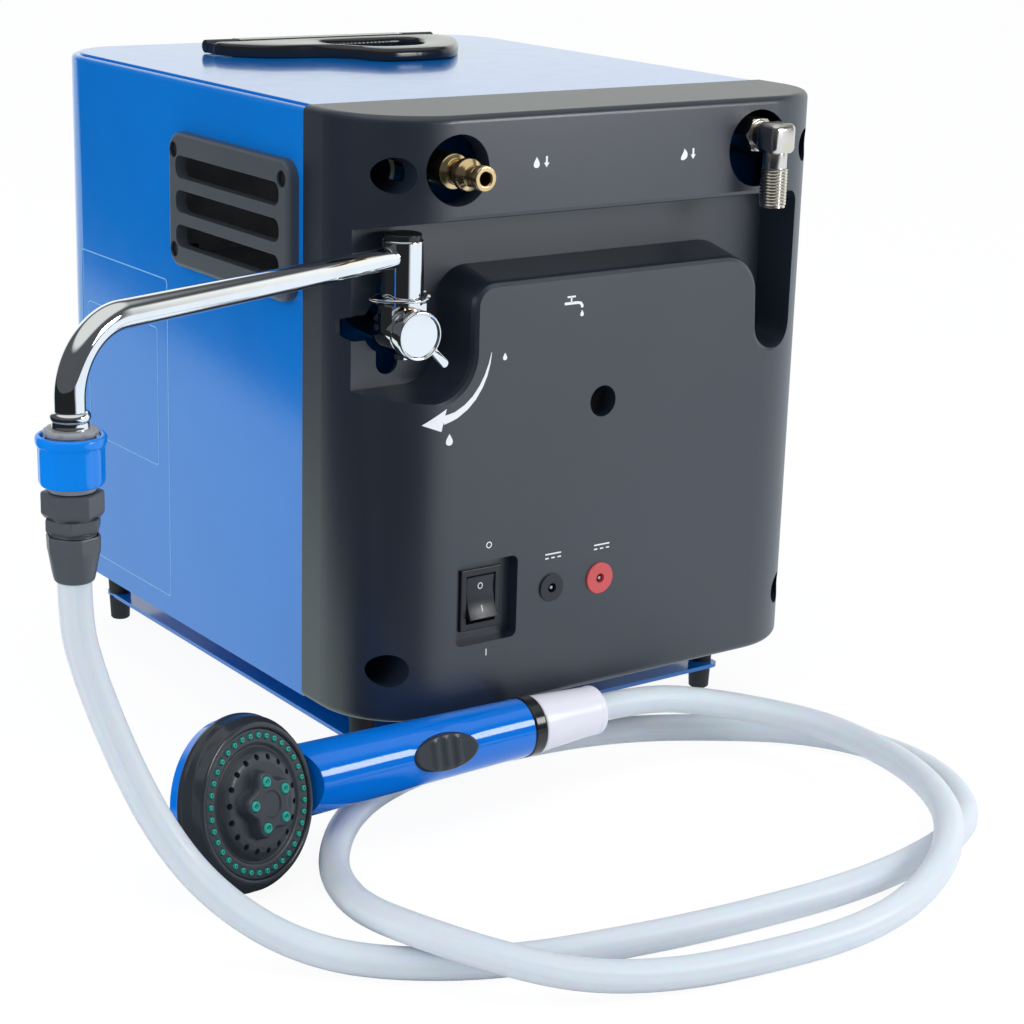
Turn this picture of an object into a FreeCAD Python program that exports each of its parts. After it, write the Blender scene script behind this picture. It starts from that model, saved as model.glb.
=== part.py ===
import FreeCAD, Part

import math
import os

import Sketcher
from FreeCAD import Placement, Rotation, Vector

# Portable propane water heater with a tap, a hose and a hand shower.
# Millimetres. +X is to the right seen from the front, +Y to the back, +Z up.
# The origin is on the floor, in the middle of the four feet; the front panel faces -Y.

# ---------------------------------------------------------------------------------------
# Driving dimensions
# ---------------------------------------------------------------------------------------

DIMENSIONS = {
    # case and feet
    "case_width": 320.0, "case_depth": 318.0, "case_height": 333.0, "case_behind_feet": 20.0,
    "case_corner": 45.0, "case_edge": 2.5, "sheet": 1.2, "top_rim": 12.0, "lid_inset": 5.0,
    "lid_sheet": 1.2, "fit": 0.2, "bulkhead_sheet": 1.0, "pan_sheet": 1.2,
    "foot_span_x": 254.0, "foot_span_y": 308.0, "foot_below_plate": 15.7, "spacer_length": 28.8,
    "foot_tip": 6.3, "foot_waist": 7.1, "foot_top": 8.5, "foot_bolt": 2.5, "foot_chamfer": 0.8,
    "bolt_head": 4.5, "bolt_head_height": 3.5, "bolt_recess": 9.0,
    "plate_sheet": 2.5, "plate_side": 6.0, "plate_front": 12.0, "plate_back": 10.0,
    "plate_corner": 10.0,
    # front panel: drops are below the case's top, insets are from the case's side
    "panel_depth": 71.7, "panel_wall": 2.5, "panel_proud": 1.6, "panel_corner": 52.0,
    "panel_edge": 4.0, "recess_depth": 30.0, "recess_draft": 5.0, "recess_ease": 3.0,
    "band_drop": 54.0, "face_drop": 88.0, "face_inset_left": 62.5, "face_inset_right": 58.5,
    "pocket_drop": 150.5, "leg_inset": 27.0, "leg_drop": 145.0, "leg_gap": 3.0,
    "pocket_bend": 25.0, "face_bend": 13.0, "face_bend_right": 24.0, "leg_bend": 14.0,
    "recess_bend": 7.0, "well_inset": 18.0, "well_drop": 29.0, "well_low": 78.0,
    "well_bore": 9.5, "well_wall": 2.5, "well_floor": 3.0, "inlet_hole": 22.0, "inlet_drop": 27.0,
    "water_inset": 47.3, "gas_hole_inset": 63.0, "gas_inset": 65.0, "gas_drop": 19.0,
    "sight_x": -8.6, "sight_drop": 162.6, "sight_bore": 9.0, "sight_depth": 12.0,
    "window_sheet": 2.0, "screw_reach": 6.0,
    # edges eased on small pieces
    "fine_edge": 0.4, "small_edge": 0.8, "cap_edge": 1.2, "soft_edge": 1.5, "rail_edge": 2.0,
    "head_edge": 6.0,
    # switch and sockets
    "switch_x": -85.0, "switch_z": 112.0, "switch_width": 41.0, "switch_height": 48.0,
    "switch_depth": 8.0, "switch_corner": 4.0, "bezel_width": 27.0, "bezel_height": 36.0,
    "bezel_depth": 14.0, "bezel_lip": 1.6, "bezel_proud": 2.0, "rocker_width": 18.5,
    "rocker_height": 27.0, "rocker_tip": 7.0, "rocker_dip": 4.6, "rocker_lean": -10.0,
    "rocker_gap": 0.6, "rocker_axis": 3.0, "rocker_pin": 1.0,
    "black_socket_x": -40.7, "black_socket_r": 7.0, "red_socket_x": -6.4, "red_socket_r": 8.0,
    "socket_z": 112.6, "socket_bore": 2.8, "socket_length": 16.0, "socket_lip": 1.2,
    "socket_floor": 4.0, "socket_pin": 0.9,
    # side grilles
    "grille_setback": 75.5, "grille_drop": 68.3, "grille_width": 137.0, "grille_height": 78.0,
    "grille_proud": 7.0, "grille_corner": 11.0, "grille_bevel": 3.0, "slot_margin": 9.5,
    "slot_edge": 12.5, "slot_height": 13.0, "slot_count": 3, "grille_screw_r": 4.6,
    "grille_screw_inset": 7.0, "grille_screw_drop": 10.0, "screw_head_height": 1.8,
    "screw_length": 12.0, "opening_margin": 5.0,
    # tap, spout and knob
    "tap_inset": 26.0, "tap_drop": 112.0, "tap_radius": 12.5, "tap_reach": 23.3, "tap_tail": 16.0,
    "tap_hole": 15.5, "lobe_width": 14.0, "lobe_reach": 27.0, "socket_wall": 1.6, "socket_rise": 2.0,
    "post_setback": 9.0, "post_radius": 11.3, "post_rise": 49.0, "cap_height": 3.0,
    "post_socket": 7.0, "spigot_radius": 7.3, "spout_rise": 40.0, "spout_root": 6.0,
    "spout_tip": 7.2, "spout_bend": 34.0, "spout_reach": 240.0, "spout_turn": 18.4,
    "spout_drop": 39.0, "tip_ring": 9.4, "tip_ring_height": 5.0, "knob_radius": 13.6,
    "knob_thick": 9.0, "knob_gap": 0.4, "knob_rim": 2.0, "knob_dish": 1.2, "knob_stem": 4.0,
    "stem_reach": 8.0, "lever_length": 26.0, "lever_width": 5.0, "lever_thick": 4.5,
    "lever_angle": 45.0, "clip_wire": 0.9, "clip_rise": 3.0, "clip_sweep": 200.0, "drain_radius": 4.0,
    "drain_length": 6.0, "drain_head": 3.0, "bore_gap": 0.05,
    # inlets
    "tail_bore": 3.5, "tail_tip": 6.6, "tail_ridge": 8.6, "tail_neck": 5.6, "tail_body": 9.5,
    "tip_end": 5.0, "groove_start": 6.5, "groove_end": 12.0, "ridge_start": 14.5, "ridge_end": 19.0,
    "collar_start": 21.0, "collar_end": 27.0, "body_start": 29.0,
    "tail_proud": 28.3, "tail_gap": 21.0, "pipe_radius": 6.0, "pipe_wall": 1.0,
    "elbow_proud": 16.3, "elbow_radius": 7.9, "elbow_drop": 39.0, "elbow_block": 17.0,
    "elbow_round": 3.5, "elbow_neck": 6.9, "thread_length": 22.0, "elbow_hex": 10.5,
    "hex_length": 14.0, "hex_gap": 4.5, "elbow_bore": 4.0, "elbow_flange": 9.0,
    # handle
    "rail_setback": 67.0, "rail_half": 61.0, "rail_width": 13.0, "rail_height": 8.4,
    "hinge_rise": 4.5, "hinge_pin": 1.6, "hinge_gap": 0.25, "handle_thick": 7.6,
    "handle_gap": 0.4, "handle_left": -84.0, "handle_right": 87.0, "knuckle": 4.2,
    "handle_edge": 2.2, "arm_gap": 1.0,
    # inside
    "side_room": 80.0, "stack_setback": 19.0, "stack_depth": 120.0, "chamber_height": 143.0,
    "exchanger_drop": 103.0, "flue_drop": 34.0, "flue_margin": 9.0, "inner_sheet": 1.0,
    "fin_pitch": 8.0, "fin_sheet": 0.6, "fin_height": 40.0, "fin_drop": 10.0, "tube_count": 3,
    "burner_low": 84.0, "burner_height": 26.0, "burner_bar": 14.0, "burner_margin": 12.0,
    "burner_count": 6, "water_block": 50.0, "water_block_height": 60.0, "water_block_gap": 8.0,
    "gas_block_width": 52.0, "gas_block_depth": 56.0, "gas_block_height": 64.0,
    "gas_block_gap": 16.0, "block_setback": 11.0, "igniter_width": 70.0, "igniter_depth": 40.0,
    "igniter_height": 34.0, "pipe_setback": 30.0,
    # connector on the spout
    "insert_radius": 12.6, "insert_height": 5.5, "collar_radius": 15.3, "collar_rim": 16.3,
    "collar_rim_height": 4.0, "collar_height": 23.5, "collar_travel": 3.0, "collar_gap": 0.2,
    "core_radius": 11.0, "core_extra": 3.0, "adapter_hex": 13.4, "adapter_height": 12.0,
    "adapter_hex_low": 11.6, "adapter_low_height": 8.0, "nut_hex": 11.8, "nut_hex_height": 8.0,
    "nut_cone": 10.2, "nut_low_radius": 9.0, "nut_height": 23.0, "hose_radius": 8.0,
    # hand shower: heights of the face are over the shell's rim
    "shower_tilt": 75.6, "shower_y": -235.0, "shower_z": 41.0, "shower_x": -263.0,
    "face_forward": 18.0, "face_angle": 19.0, "shell_radius": 45.0, "shell_back": 20.0,
    "ring_radius": 46.0, "ring_front": 40.9, "ring_height": 14.0, "ring_gap": 0.4,
    "ring_band": 3.0, "ring_step": 1.2, "ring_shoulder": 8.68,
    "ring_clearance": 0.6, "disc_radius": 38.2, "disc_sink": 1.0, "disc_step": 29.3,
    "disc_groove": 1.6, "dome_height": 16.5, "disc_core": 17.6, "core_height": 22.5,
    "core_dish": 7.0, "outer_ring": 34.7, "outer_count": 36, "outer_nozzle": 1.5,
    "inner_ring": 12.2, "inner_count": 5, "inner_nozzle": 2.8, "inner_turn": 28.0,
    "nozzle_proud": 1.2, "nozzle_seat": 3.0, "hole_ring": 24.0, "hole_count": 18,
    "hole_radius": 1.2, "hole_depth": 4.0,
    "grip_start": 20.0, "grip_end": 188.5, "grip_thick": 20.0, "grip_thin": 16.6,
    "end_ring_height": 8.5, "end_ring_radius": 17.3, "coupling_height": 45.0,
    "coupling_radius": 16.2, "coupling_tip": 13.5, "button_x": 127.5, "button_long": 20.4,
    "button_short": 10.0, "button_proud": 2.6, "button_depth": 6.5, "button_room": 2.5,
    "button_gap": 0.3, "button_crown": 1.2, "ridge_pitch": 6.0, "ridge_cut": 1.6,
}


class Size:
    """A number together with the expression that gives it in the sheet."""

    def __init__(self, number, text):
        self.number = float(number)
        self.text = text

    def __float__(self):
        return self.number

    def _with(self, other, sign, work, swap=False):
        other = other if isinstance(other, Size) else Size(other, repr(float(other)))
        first, second = (other, self) if swap else (self, other)
        return Size(work(first.number, second.number), f"({first.text} {sign} {second.text})")

    def __add__(self, other):
        return self._with(other, "+", lambda a, b: a + b)

    def __radd__(self, other):
        return self._with(other, "+", lambda a, b: a + b, True)

    def __sub__(self, other):
        return self._with(other, "-", lambda a, b: a - b)

    def __rsub__(self, other):
        return self._with(other, "-", lambda a, b: a - b, True)

    def __mul__(self, other):
        return self._with(other, "*", lambda a, b: a * b)

    def __rmul__(self, other):
        return self._with(other, "*", lambda a, b: a * b, True)

    def __truediv__(self, other):
        return self._with(other, "/", lambda a, b: a / b)

    def __neg__(self):
        return self * -1


class Sheet:
    """The document's spreadsheet: every driving dimension has a cell with an alias."""

    def __init__(self, document, dimensions):
        self.cells = document.addObject("Spreadsheet::Sheet", "Sizes")
        self.sizes = {}
        for row, (alias, number) in enumerate(dimensions.items(), start=1):
            self.cells.set(f"A{row}", alias)
            self.cells.set(f"B{row}", repr(number))
            self.cells.setAlias(f"B{row}", alias)
            self.sizes[alias] = Size(number, f"Sizes.{alias}")
        document.recompute()

    def __getattr__(self, alias):
        return self.sizes[alias]


THROUGH = 10.0          # how far a cutting piece runs on past the face that it cuts
AHEAD = 5.0             # how far in front of a face a cut starts
NEAR = 0.01             # how close to a level an edge has to lie
RECESS_BEYOND = 15.0    # the recess's outline past the panel's open left side
SHARP = 1.0             # bend of a corner that lies outside the panel
LEAST_BEND = 2.0        # smallest bend that is left where an outline is shrunk
BEND, WIDE_BEND, TIGHT_BEND = 12.0, 16.0, 6.0      # of the copper pipes
HEAD_SLOPE = ((0.45, 1), (0.8, 0.68), (0.97, 0.3))   # of the handset's back: share of its radius, of its depth
HOSE_DROP = 22.0        # straight run below the clamp nut
HOSE_LEAD = 38.0        # straight run into the handset's coupling

doc = FreeCAD.newDocument("camp_water_heater")
s = Sheet(doc, DIMENSIONS)

# Levels and faces that several pieces share
floor_to_case = s.foot_below_plate + s.plate_sheet + s.spacer_length
case_top = floor_to_case + s.case_height
case_back = s.foot_span_y / 2 + s.case_behind_feet
case_front = case_back - s.case_depth
half_case = s.case_width / 2
panel_half = half_case + s.panel_proud
panel_front = case_front - s.panel_depth
panel_top = case_top + s.panel_proud
recess_floor = panel_front + s.recess_depth
lid_top = case_top + s.lid_sheet
pan_top = floor_to_case + s.pan_sheet

# Places on the front panel
face_left = s.face_inset_left - half_case
face_right = half_case - s.face_inset_right
face_top = case_top - s.face_drop
leg_right = half_case - s.leg_inset
well_x = half_case - s.well_inset
water_x = s.water_inset - half_case
inlet_z = case_top - s.inlet_drop
gas_x = half_case - s.gas_inset
gas_z = case_top - s.gas_drop
sight_z = case_top - s.sight_drop
grille_y = case_front + s.grille_setback
grille_z = case_top - s.grille_drop

# The tap's axes
tap_x = s.tap_inset - half_case
tap_z = case_top - s.tap_drop
tap_front = recess_floor - s.tap_reach
tap_back = case_front - s.tap_tail
post_y = tap_front + s.post_setback
post_top = tap_z + s.post_rise
spout_z = tap_z + s.spout_rise

# Burner, exchanger and flue, one above the other
stack_x = half_case - s.side_room
stack_front = case_front + s.stack_setback
stack_back = stack_front + s.stack_depth
chamber_top = floor_to_case + s.chamber_height
exchanger_top = case_top - s.exchanger_drop
flue_top = case_top - s.flue_drop

AXES = {"X": Vector(1, 0, 0), "Y": Vector(0, 1, 0), "Z": Vector(0, 0, 1),
        "-X": Vector(-1, 0, 0), "-Y": Vector(0, -1, 0), "-Z": Vector(0, 0, -1)}
NODES = []


# ---------------------------------------------------------------------------------------
# Small tools for binding, placing and combining
# ---------------------------------------------------------------------------------------

def number(value):
    return float(value)


def point(*values):
    return Vector(*(number(v) for v in values))


def bind(thing, prop, value):
    """Set a property, and tie it to the sheet where the value comes from there."""
    setattr(thing, prop, number(value))
    if isinstance(value, Size):
        thing.setExpression(prop, value.text)


def put(thing, at, turn=None):
    """Place a feature, with each coordinate tied to the sheet."""
    thing.Placement = Placement(point(*at), turn or Rotation())
    for letter, value in zip("xyz", at):
        if isinstance(value, Size):
            thing.setExpression(f".Placement.Base.{letter}", value.text)
    return thing


def facing(axis):
    return Rotation(AXES["Z"], AXES[axis])


def block(name, size, corner):
    box = doc.addObject("Part::Box", name)
    for prop, value in zip(("Length", "Width", "Height"), size):
        bind(box, prop, value)
    return put(box, corner)


def rod(name, radius, length, start, axis="Z"):
    cylinder = doc.addObject("Part::Cylinder", name)
    bind(cylinder, "Radius", radius)
    bind(cylinder, "Height", length)
    return put(cylinder, start, facing(axis))


def taper(name, first, last, length, start, axis="Z"):
    cone = doc.addObject("Part::Cone", name)
    bind(cone, "Radius1", first)
    bind(cone, "Radius2", last)
    bind(cone, "Height", length)
    return put(cone, start, facing(axis))


def hexagon(name, radius, length, start, axis="Z"):
    prism = doc.addObject("Part::Prism", name)
    prism.Polygon = 6
    bind(prism, "Circumradius", radius)
    bind(prism, "Height", length)
    return put(prism, start, facing(axis))


def fuse(name, *things):
    union = doc.addObject("Part::MultiFuse", name)
    union.Shapes = list(things)
    union.Refine = True
    return union


def cut(name, base, *tools):
    hole = tools[0] if len(tools) == 1 else fuse(f"{name}_tools", *tools)
    result = doc.addObject("Part::Cut", name)
    result.Base = base
    result.Tool = hole
    return result


def ease(name, base, radius, pick, kind="Fillet"):
    """Round or bevel the edges of a solid that the given test picks."""
    doc.recompute()
    edges = [i for i, edge in enumerate(base.Shape.Edges, start=1) if pick(edge)]
    rounded = doc.addObject(f"Part::{kind}", name)
    rounded.Base = base
    rounded.Edges = [(i, number(radius), number(radius)) for i in edges]
    return rounded


def group(name, pieces):
    """Several equal pieces, such as screws, kept as separate solids in one node."""
    bundle = doc.addObject("Part::Compound", name)
    bundle.Links = list(pieces)
    return bundle


def node(thing, name):
    thing.Label = name
    NODES.append(thing)
    return thing


def runs_along(axis):
    """A test for straight edges that run along one axis."""
    def test(edge):
        if edge.Curve.TypeId != "Part::GeomLine":
            return False
        return abs(edge.tangentAt(edge.FirstParameter).dot(AXES[axis])) > 0.999
    return test


def lies_at(axis, level):
    """A test for edges that lie wholly in one plane across an axis."""
    def test(edge):
        low = edge.BoundBox
        spans = {"X": (low.XMin, low.XMax), "Y": (low.YMin, low.YMax), "Z": (low.ZMin, low.ZMax)}
        return all(abs(value - number(level)) < 0.01 for value in spans[axis])
    return test


def stands_at(x, y):
    """A test for edges whose middle lies over a point of the plan."""
    def test(edge):
        middle = edge.CenterOfMass
        return abs(middle.x - number(x)) < 0.05 and abs(middle.y - number(y)) < 0.05
    return test


def both(first, second):
    return lambda edge: first(edge) and second(edge)


def round_edge(edge):
    return edge.Curve.TypeId == "Part::GeomCircle"


class Body:
    """A PartDesign body made of sketches on its own origin planes."""

    def __init__(self, name):
        self.name = name
        self.body = doc.addObject("PartDesign::Body", name)
        self.count = 0

    def _new(self, kind):
        self.count += 1
        return self.body.newObject(kind, f"{self.name}_{self.count}")

    def sketch(self, plane, level, corners=(), circles=()):
        """A closed outline by its corners, and circles, on a plane at a level."""
        drawing = self._new("Sketcher::SketchObject")
        support = [f for f in self.body.Origin.OriginFeatures if f.Role == f"{plane}_Plane"][0]
        drawing.AttachmentSupport = (support, [""])
        drawing.MapMode = "FlatFace"
        offset = -level if plane == "XZ" else level
        drawing.AttachmentOffset = Placement(point(0, 0, offset), Rotation())
        if isinstance(offset, Size):
            drawing.setExpression("AttachmentOffset.Base.z", offset.text)
        last = len(corners)
        for i, corner in enumerate(corners):
            start, end = point(*corner, 0), point(*corners[(i + 1) % last], 0)
            drawing.addGeometry(Part.LineSegment(start, end), False)
        for i in range(last):
            drawing.addConstraint(Sketcher.Constraint("Coincident", i, 2, (i + 1) % last, 1))
        for i, corner in enumerate(corners):
            self._hold(drawing, "DistanceX", i, 1, corner[0])
            self._hold(drawing, "DistanceY", i, 1, corner[1])
        for centre, radius in circles:
            ring = Part.Circle(point(*centre, 0), Vector(0, 0, 1), number(radius))
            i = drawing.addGeometry(ring, False)
            self._hold(drawing, "DistanceX", i, 3, centre[0])
            self._hold(drawing, "DistanceY", i, 3, centre[1])
            fixed = drawing.addConstraint(Sketcher.Constraint("Radius", i, number(radius)))
            if isinstance(radius, Size):
                drawing.setExpression(f"Constraints[{fixed}]", radius.text)
        return drawing

    @staticmethod
    def _hold(drawing, kind, geometry, end, value):
        fixed = drawing.addConstraint(
            Sketcher.Constraint(kind, -1, 1, geometry, end, number(value)))
        if isinstance(value, Size):
            drawing.setExpression(f"Constraints[{fixed}]", value.text)

    def pad(self, drawing, length, away=False):
        """Material from the sketch along the plane's normal, or the other way."""
        feature = self._new("PartDesign::Pad")
        feature.Profile = drawing
        feature.Reversed = away
        bind(feature, "Length", length)
        return feature

    def pocket(self, drawing, length, away=False):
        feature = self._new("PartDesign::Pocket")
        feature.Profile = drawing
        feature.Reversed = away
        bind(feature, "Length", length)
        return feature

    def spin(self, drawing, axis="V_Axis"):
        feature = self._new("PartDesign::Revolution")
        feature.Profile = drawing
        feature.ReferenceAxis = (drawing, [axis])
        feature.Angle = 360
        return feature

    def round(self, radius, pick, kind="Fillet"):
        doc.recompute()
        base = self.body.Tip
        edges = [f"Edge{i}" for i, edge in enumerate(base.Shape.Edges, start=1) if pick(edge)]
        feature = self._new(f"PartDesign::{kind}")
        feature.Base = (base, edges)
        bind(feature, "Radius" if kind == "Fillet" else "Size", radius)
        return feature

    def repeat(self, original, direction, length, count):
        """Equal copies of a feature along one axis of its sketch."""
        pattern = self._new("PartDesign::LinearPattern")
        pattern.Originals = [original]
        pattern.Direction = direction
        bind(pattern, "Length", length)
        pattern.Occurrences = int(number(count))
        self.body.Tip = pattern
        return pattern


def rectangle(left, low, right, high):
    return ((left, low), (right, low), (right, high), (left, high))


def centred(x, z, width, height):
    return rectangle(x - width / 2, z - height / 2, x + width / 2, z + height / 2)


def copies(name, source, places, turn=None):
    """Linked copies of one solid at a list of places."""
    made = []
    for i, at in enumerate(places, start=1):
        link = doc.addObject("App::Link", f"{name}_{i}")
        link.LinkedObject = source
        made.append(put(link, at, turn))
    return group(name, made)


def rounded_outline(corners, lift):
    """A closed wire through corners given as (x, z, radius), with tangent arcs, at y = lift."""
    places = [Vector(number(x), lift, number(z)) for x, z, _ in corners]
    edges = []
    starts = []
    for i, (_, _, radius) in enumerate(corners):
        here, before, after = places[i], places[i - 1], places[(i + 1) % len(places)]
        back, ahead = (before - here).normalize(), (after - here).normalize()
        half = back.getAngle(ahead) / 2
        reach = number(radius) / math.tan(half)
        middle = here + (back + ahead).normalize() * (number(radius) / math.sin(half))
        nearest = middle + (here - middle).normalize() * number(radius)
        starts.append((here + back * reach, nearest, here + ahead * reach))
    for i, (first, nearest, last) in enumerate(starts):
        following = starts[(i + 1) % len(starts)][0]
        edges.append(Part.Arc(first, nearest, last).toShape())
        if last.distanceToPoint(following) > 1e-6:
            edges.append(Part.LineSegment(last, following).toShape())
    return Part.Wire(edges)


def bent_path(points, radii=None, share=0.45):
    """Straight runs joined by tangent arcs; without radii each arc is as large as its runs allow."""
    edges, used = [], []
    start = points[0]
    for i in range(1, len(points) - 1):
        here = points[i]
        back, ahead = points[i - 1] - here, points[i + 1] - here
        half = back.getAngle(ahead) / 2
        if radii:
            reach = radii[i - 1] / math.tan(half)
        else:
            reach = share * min(back.Length, ahead.Length)
        radius = reach * math.tan(half)
        back.normalize()
        ahead.normalize()
        middle = here + (back + ahead).normalize() * (radius / math.sin(half))
        nearest = middle + (here - middle).normalize() * radius
        edges.append(Part.LineSegment(start, here + back * reach).toShape())
        edges.append(Part.Arc(here + back * reach, nearest, here + ahead * reach).toShape())
        start = here + ahead * reach
        used.append(radius)
    edges.append(Part.LineSegment(start, points[-1]).toShape())
    return Part.Wire(edges), used


def tube_shape(points, radius, bore=None, radii=None):
    """A round tube along a bent path."""
    path, used = bent_path(points, radii)
    ahead = (points[1] - points[0]).normalize()

    def sweep(size):
        ring = Part.Wire([Part.Circle(points[0], ahead, size).toShape()])
        return path.makePipeShell([ring], True, False)

    shape = sweep(number(radius))
    if bore:
        shape = shape.cut(sweep(number(bore)))
    return shape, path.Length, used


def fixed(name, shape):
    feature = doc.addObject("Part::Feature", name)
    feature.Shape = shape
    return feature


def pipe(name, points, radii):
    """A drawn pipe inside the case, bent to the given radii."""
    shape, _, _ = tube_shape([point(*p) for p in points], s.pipe_radius,
                             s.pipe_radius - s.pipe_wall, radii)
    return node(fixed(name, shape), name)


# ---------------------------------------------------------------------------------------
# Case: wrap, lid, inner bulkhead, pans and feet
# ---------------------------------------------------------------------------------------

foot_places = [(sx * s.foot_span_x / 2, sy * s.foot_span_y / 2) for sx in (-1, 1) for sy in (-1, 1)]


def make_case_wrap():
    """Sides and back in one folded sheet, with a narrow rim turned in at the top."""
    wrap = Body("wrap_form")
    outer = rectangle(-half_case, case_front, half_case, case_back)
    wrap.pad(wrap.sketch("XY", floor_to_case, outer), s.case_height)
    wrap.round(s.case_corner, both(runs_along("Z"), lambda e: e.CenterOfMass.y > 0))
    wrap.round(s.case_edge, lambda e: e.BoundBox.ZMin > number(case_top) - NEAR
               and e.CenterOfMass.y > number(case_front) + 1)
    room = Body("wrap_room")
    inner = rectangle(s.sheet - half_case, case_front - 1, half_case - s.sheet, case_back - s.sheet)
    room.pad(room.sketch("XY", floor_to_case - 1, inner), s.case_height + 1 - s.sheet)
    room.round(s.case_corner - s.sheet, both(runs_along("Z"), lambda e: e.CenterOfMass.y > 0))
    mouth = Body("wrap_mouth")
    opening = rectangle(s.top_rim - half_case, case_front - 1,
                        half_case - s.top_rim, case_back - s.top_rim)
    mouth.pad(mouth.sketch("XY", case_top - s.top_rim, opening), s.top_rim * 2)
    mouth.round(s.case_corner - s.top_rim, both(runs_along("Z"), lambda e: e.CenterOfMass.y > 0))
    window = block("wrap_window",
                   (s.case_width + 2, s.grille_width - 2 * s.opening_margin,
                    s.grille_height - 2 * s.opening_margin),
                   (-half_case - 1, grille_y - s.grille_width / 2 + s.opening_margin,
                    grille_z - s.grille_height / 2 + s.opening_margin))
    screws = [rod(f"wrap_hole_{i}", s.grille_screw_r / 2, s.case_width + 2, (-half_case - 1, y, z),
                  "X") for i, (y, z) in enumerate(grille_screw_places())]
    node(cut("case_wrap", wrap.body, room.body, mouth.body, window, *screws), "case_wrap")


def grille_screw_places():
    across = s.grille_width / 2 - s.grille_screw_inset
    up = s.grille_height / 2 - s.grille_screw_drop
    return [(grille_y + sy * across, grille_z + sz * up) for sy in (-1, 1) for sz in (-1, 1)]


def make_top_cover():
    """Thin lid over the opening of the wrap, with rounded rear corners."""
    lid = Body("top_cover")
    plan = rectangle(s.lid_inset - half_case, case_front + s.fit,
                     half_case - s.lid_inset, case_back - s.lid_inset)
    lid.pad(lid.sketch("XY", case_top, plan), s.lid_sheet)
    lid.round(s.case_corner - s.lid_inset, both(runs_along("Z"), lambda e: e.CenterOfMass.y > 0))
    lid.round(s.lid_sheet / 2, lies_at("Z", lid_top))
    node(lid.body, "top_cover")


def make_chassis():
    """Inner bulkhead behind the front panel, and the pan that closes the case below."""
    inside = half_case - s.sheet - s.fit
    sheet = block("bulkhead_sheet_form",
                  (2 * inside, s.bulkhead_sheet, s.case_height - s.sheet - s.pan_sheet - 2 * s.fit),
                  (-inside, case_front, floor_to_case + s.pan_sheet + s.fit))
    reach = s.bulkhead_sheet + 2
    holes = [rod(f"bulkhead_hole_{i}", radius, reach, (x, case_front - 1, z), "Y")
             for i, (x, z, radius) in enumerate((
                 (water_x, inlet_z, s.tail_body + s.fit),
                 (gas_x, gas_z, s.elbow_flange + s.fit),
                 (tap_x, tap_z, s.pipe_radius + s.fit),
                 (s.sight_x, sight_z, s.sight_bore)))]
    wells = [rod(f"bulkhead_screw_{i}", s.foot_bolt - s.fit, reach, (x, case_front - 1, z), "Y")
             for i, (x, z) in enumerate(well_places())]
    node(cut("chassis_front", sheet, *holes, *wells), "chassis_front")

    pan = Body("base_pan_form")
    plan = rectangle(-inside, case_front + s.fit, inside, case_back - s.sheet - s.fit)
    pan.pad(pan.sketch("XY", floor_to_case, plan), s.pan_sheet)
    pan.round(s.case_corner - s.sheet - s.fit, both(runs_along("Z"), lambda e: e.CenterOfMass.y > 0))
    holes = [rod(f"pan_hole_{i}", s.foot_bolt + s.fit, THROUGH, (x, y, floor_to_case - 1))
             for i, (x, y) in enumerate(foot_places) if number(y) > 0]
    node(cut("base_pan", pan.body, *holes), "base_pan")


def make_base_plate():
    """Glossy plate hung under the case between the feet and their spacers."""
    plate = Body("base_plate_form")
    plan = rectangle(-s.foot_span_x / 2 - s.plate_side, -s.foot_span_y / 2 - s.plate_front,
                     s.foot_span_x / 2 + s.plate_side, s.foot_span_y / 2 + s.plate_back)
    plate.pad(plate.sketch("XY", s.foot_below_plate, plan), s.plate_sheet)
    plate.round(s.plate_corner / 2, runs_along("Z"))
    holes = [rod(f"plate_hole_{i}", s.foot_bolt + s.fit, THROUGH, (x, y, s.foot_below_plate - 2))
             for i, (x, y) in enumerate(foot_places)]
    node(cut("base_plate", plate.body, *holes), "base_plate")


def make_feet():
    """Tapered rubber foot below the plate, rubber spacer above it, and the bolt through both."""
    foot = Body("foot_form")
    foot.spin(foot.sketch("XZ", 0, (
        (0, 0), (s.foot_tip - s.foot_chamfer, 0), (s.foot_tip, s.foot_chamfer),
        (s.foot_waist, s.foot_below_plate), (s.foot_bolt, s.foot_below_plate),
        (s.foot_bolt, s.foot_below_plate - s.bolt_recess), (0, s.foot_below_plate - s.bolt_recess))))
    spacer = Body("spacer_form")
    low = s.foot_below_plate + s.plate_sheet
    spacer.spin(spacer.sketch("XZ", 0, (
        (s.foot_bolt, low), (s.foot_waist, low), (s.foot_top, floor_to_case),
        (s.foot_bolt, floor_to_case))))
    bolt = Body("bolt_form")
    head = floor_to_case + s.pan_sheet
    bolt.spin(bolt.sketch("XZ", 0, (
        (0, s.foot_below_plate - s.bolt_recess), (s.foot_bolt, s.foot_below_plate - s.bolt_recess),
        (s.foot_bolt, head), (s.bolt_head, head), (s.bolt_head, head + s.bolt_head_height),
        (0, head + s.bolt_head_height))))
    places = [(x, y, 0) for x, y in foot_places]
    for name, form in (("rubber_feet", foot), ("foot_spacers", spacer), ("foot_bolts", bolt)):
        node(copies(name, form.body, places), name)


# ---------------------------------------------------------------------------------------
# Moulded front panel
# ---------------------------------------------------------------------------------------

def well_places():
    return [(sx * well_x, z) for sx in (-1, 1) for z in (s.well_low, case_top - s.well_drop)]


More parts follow.
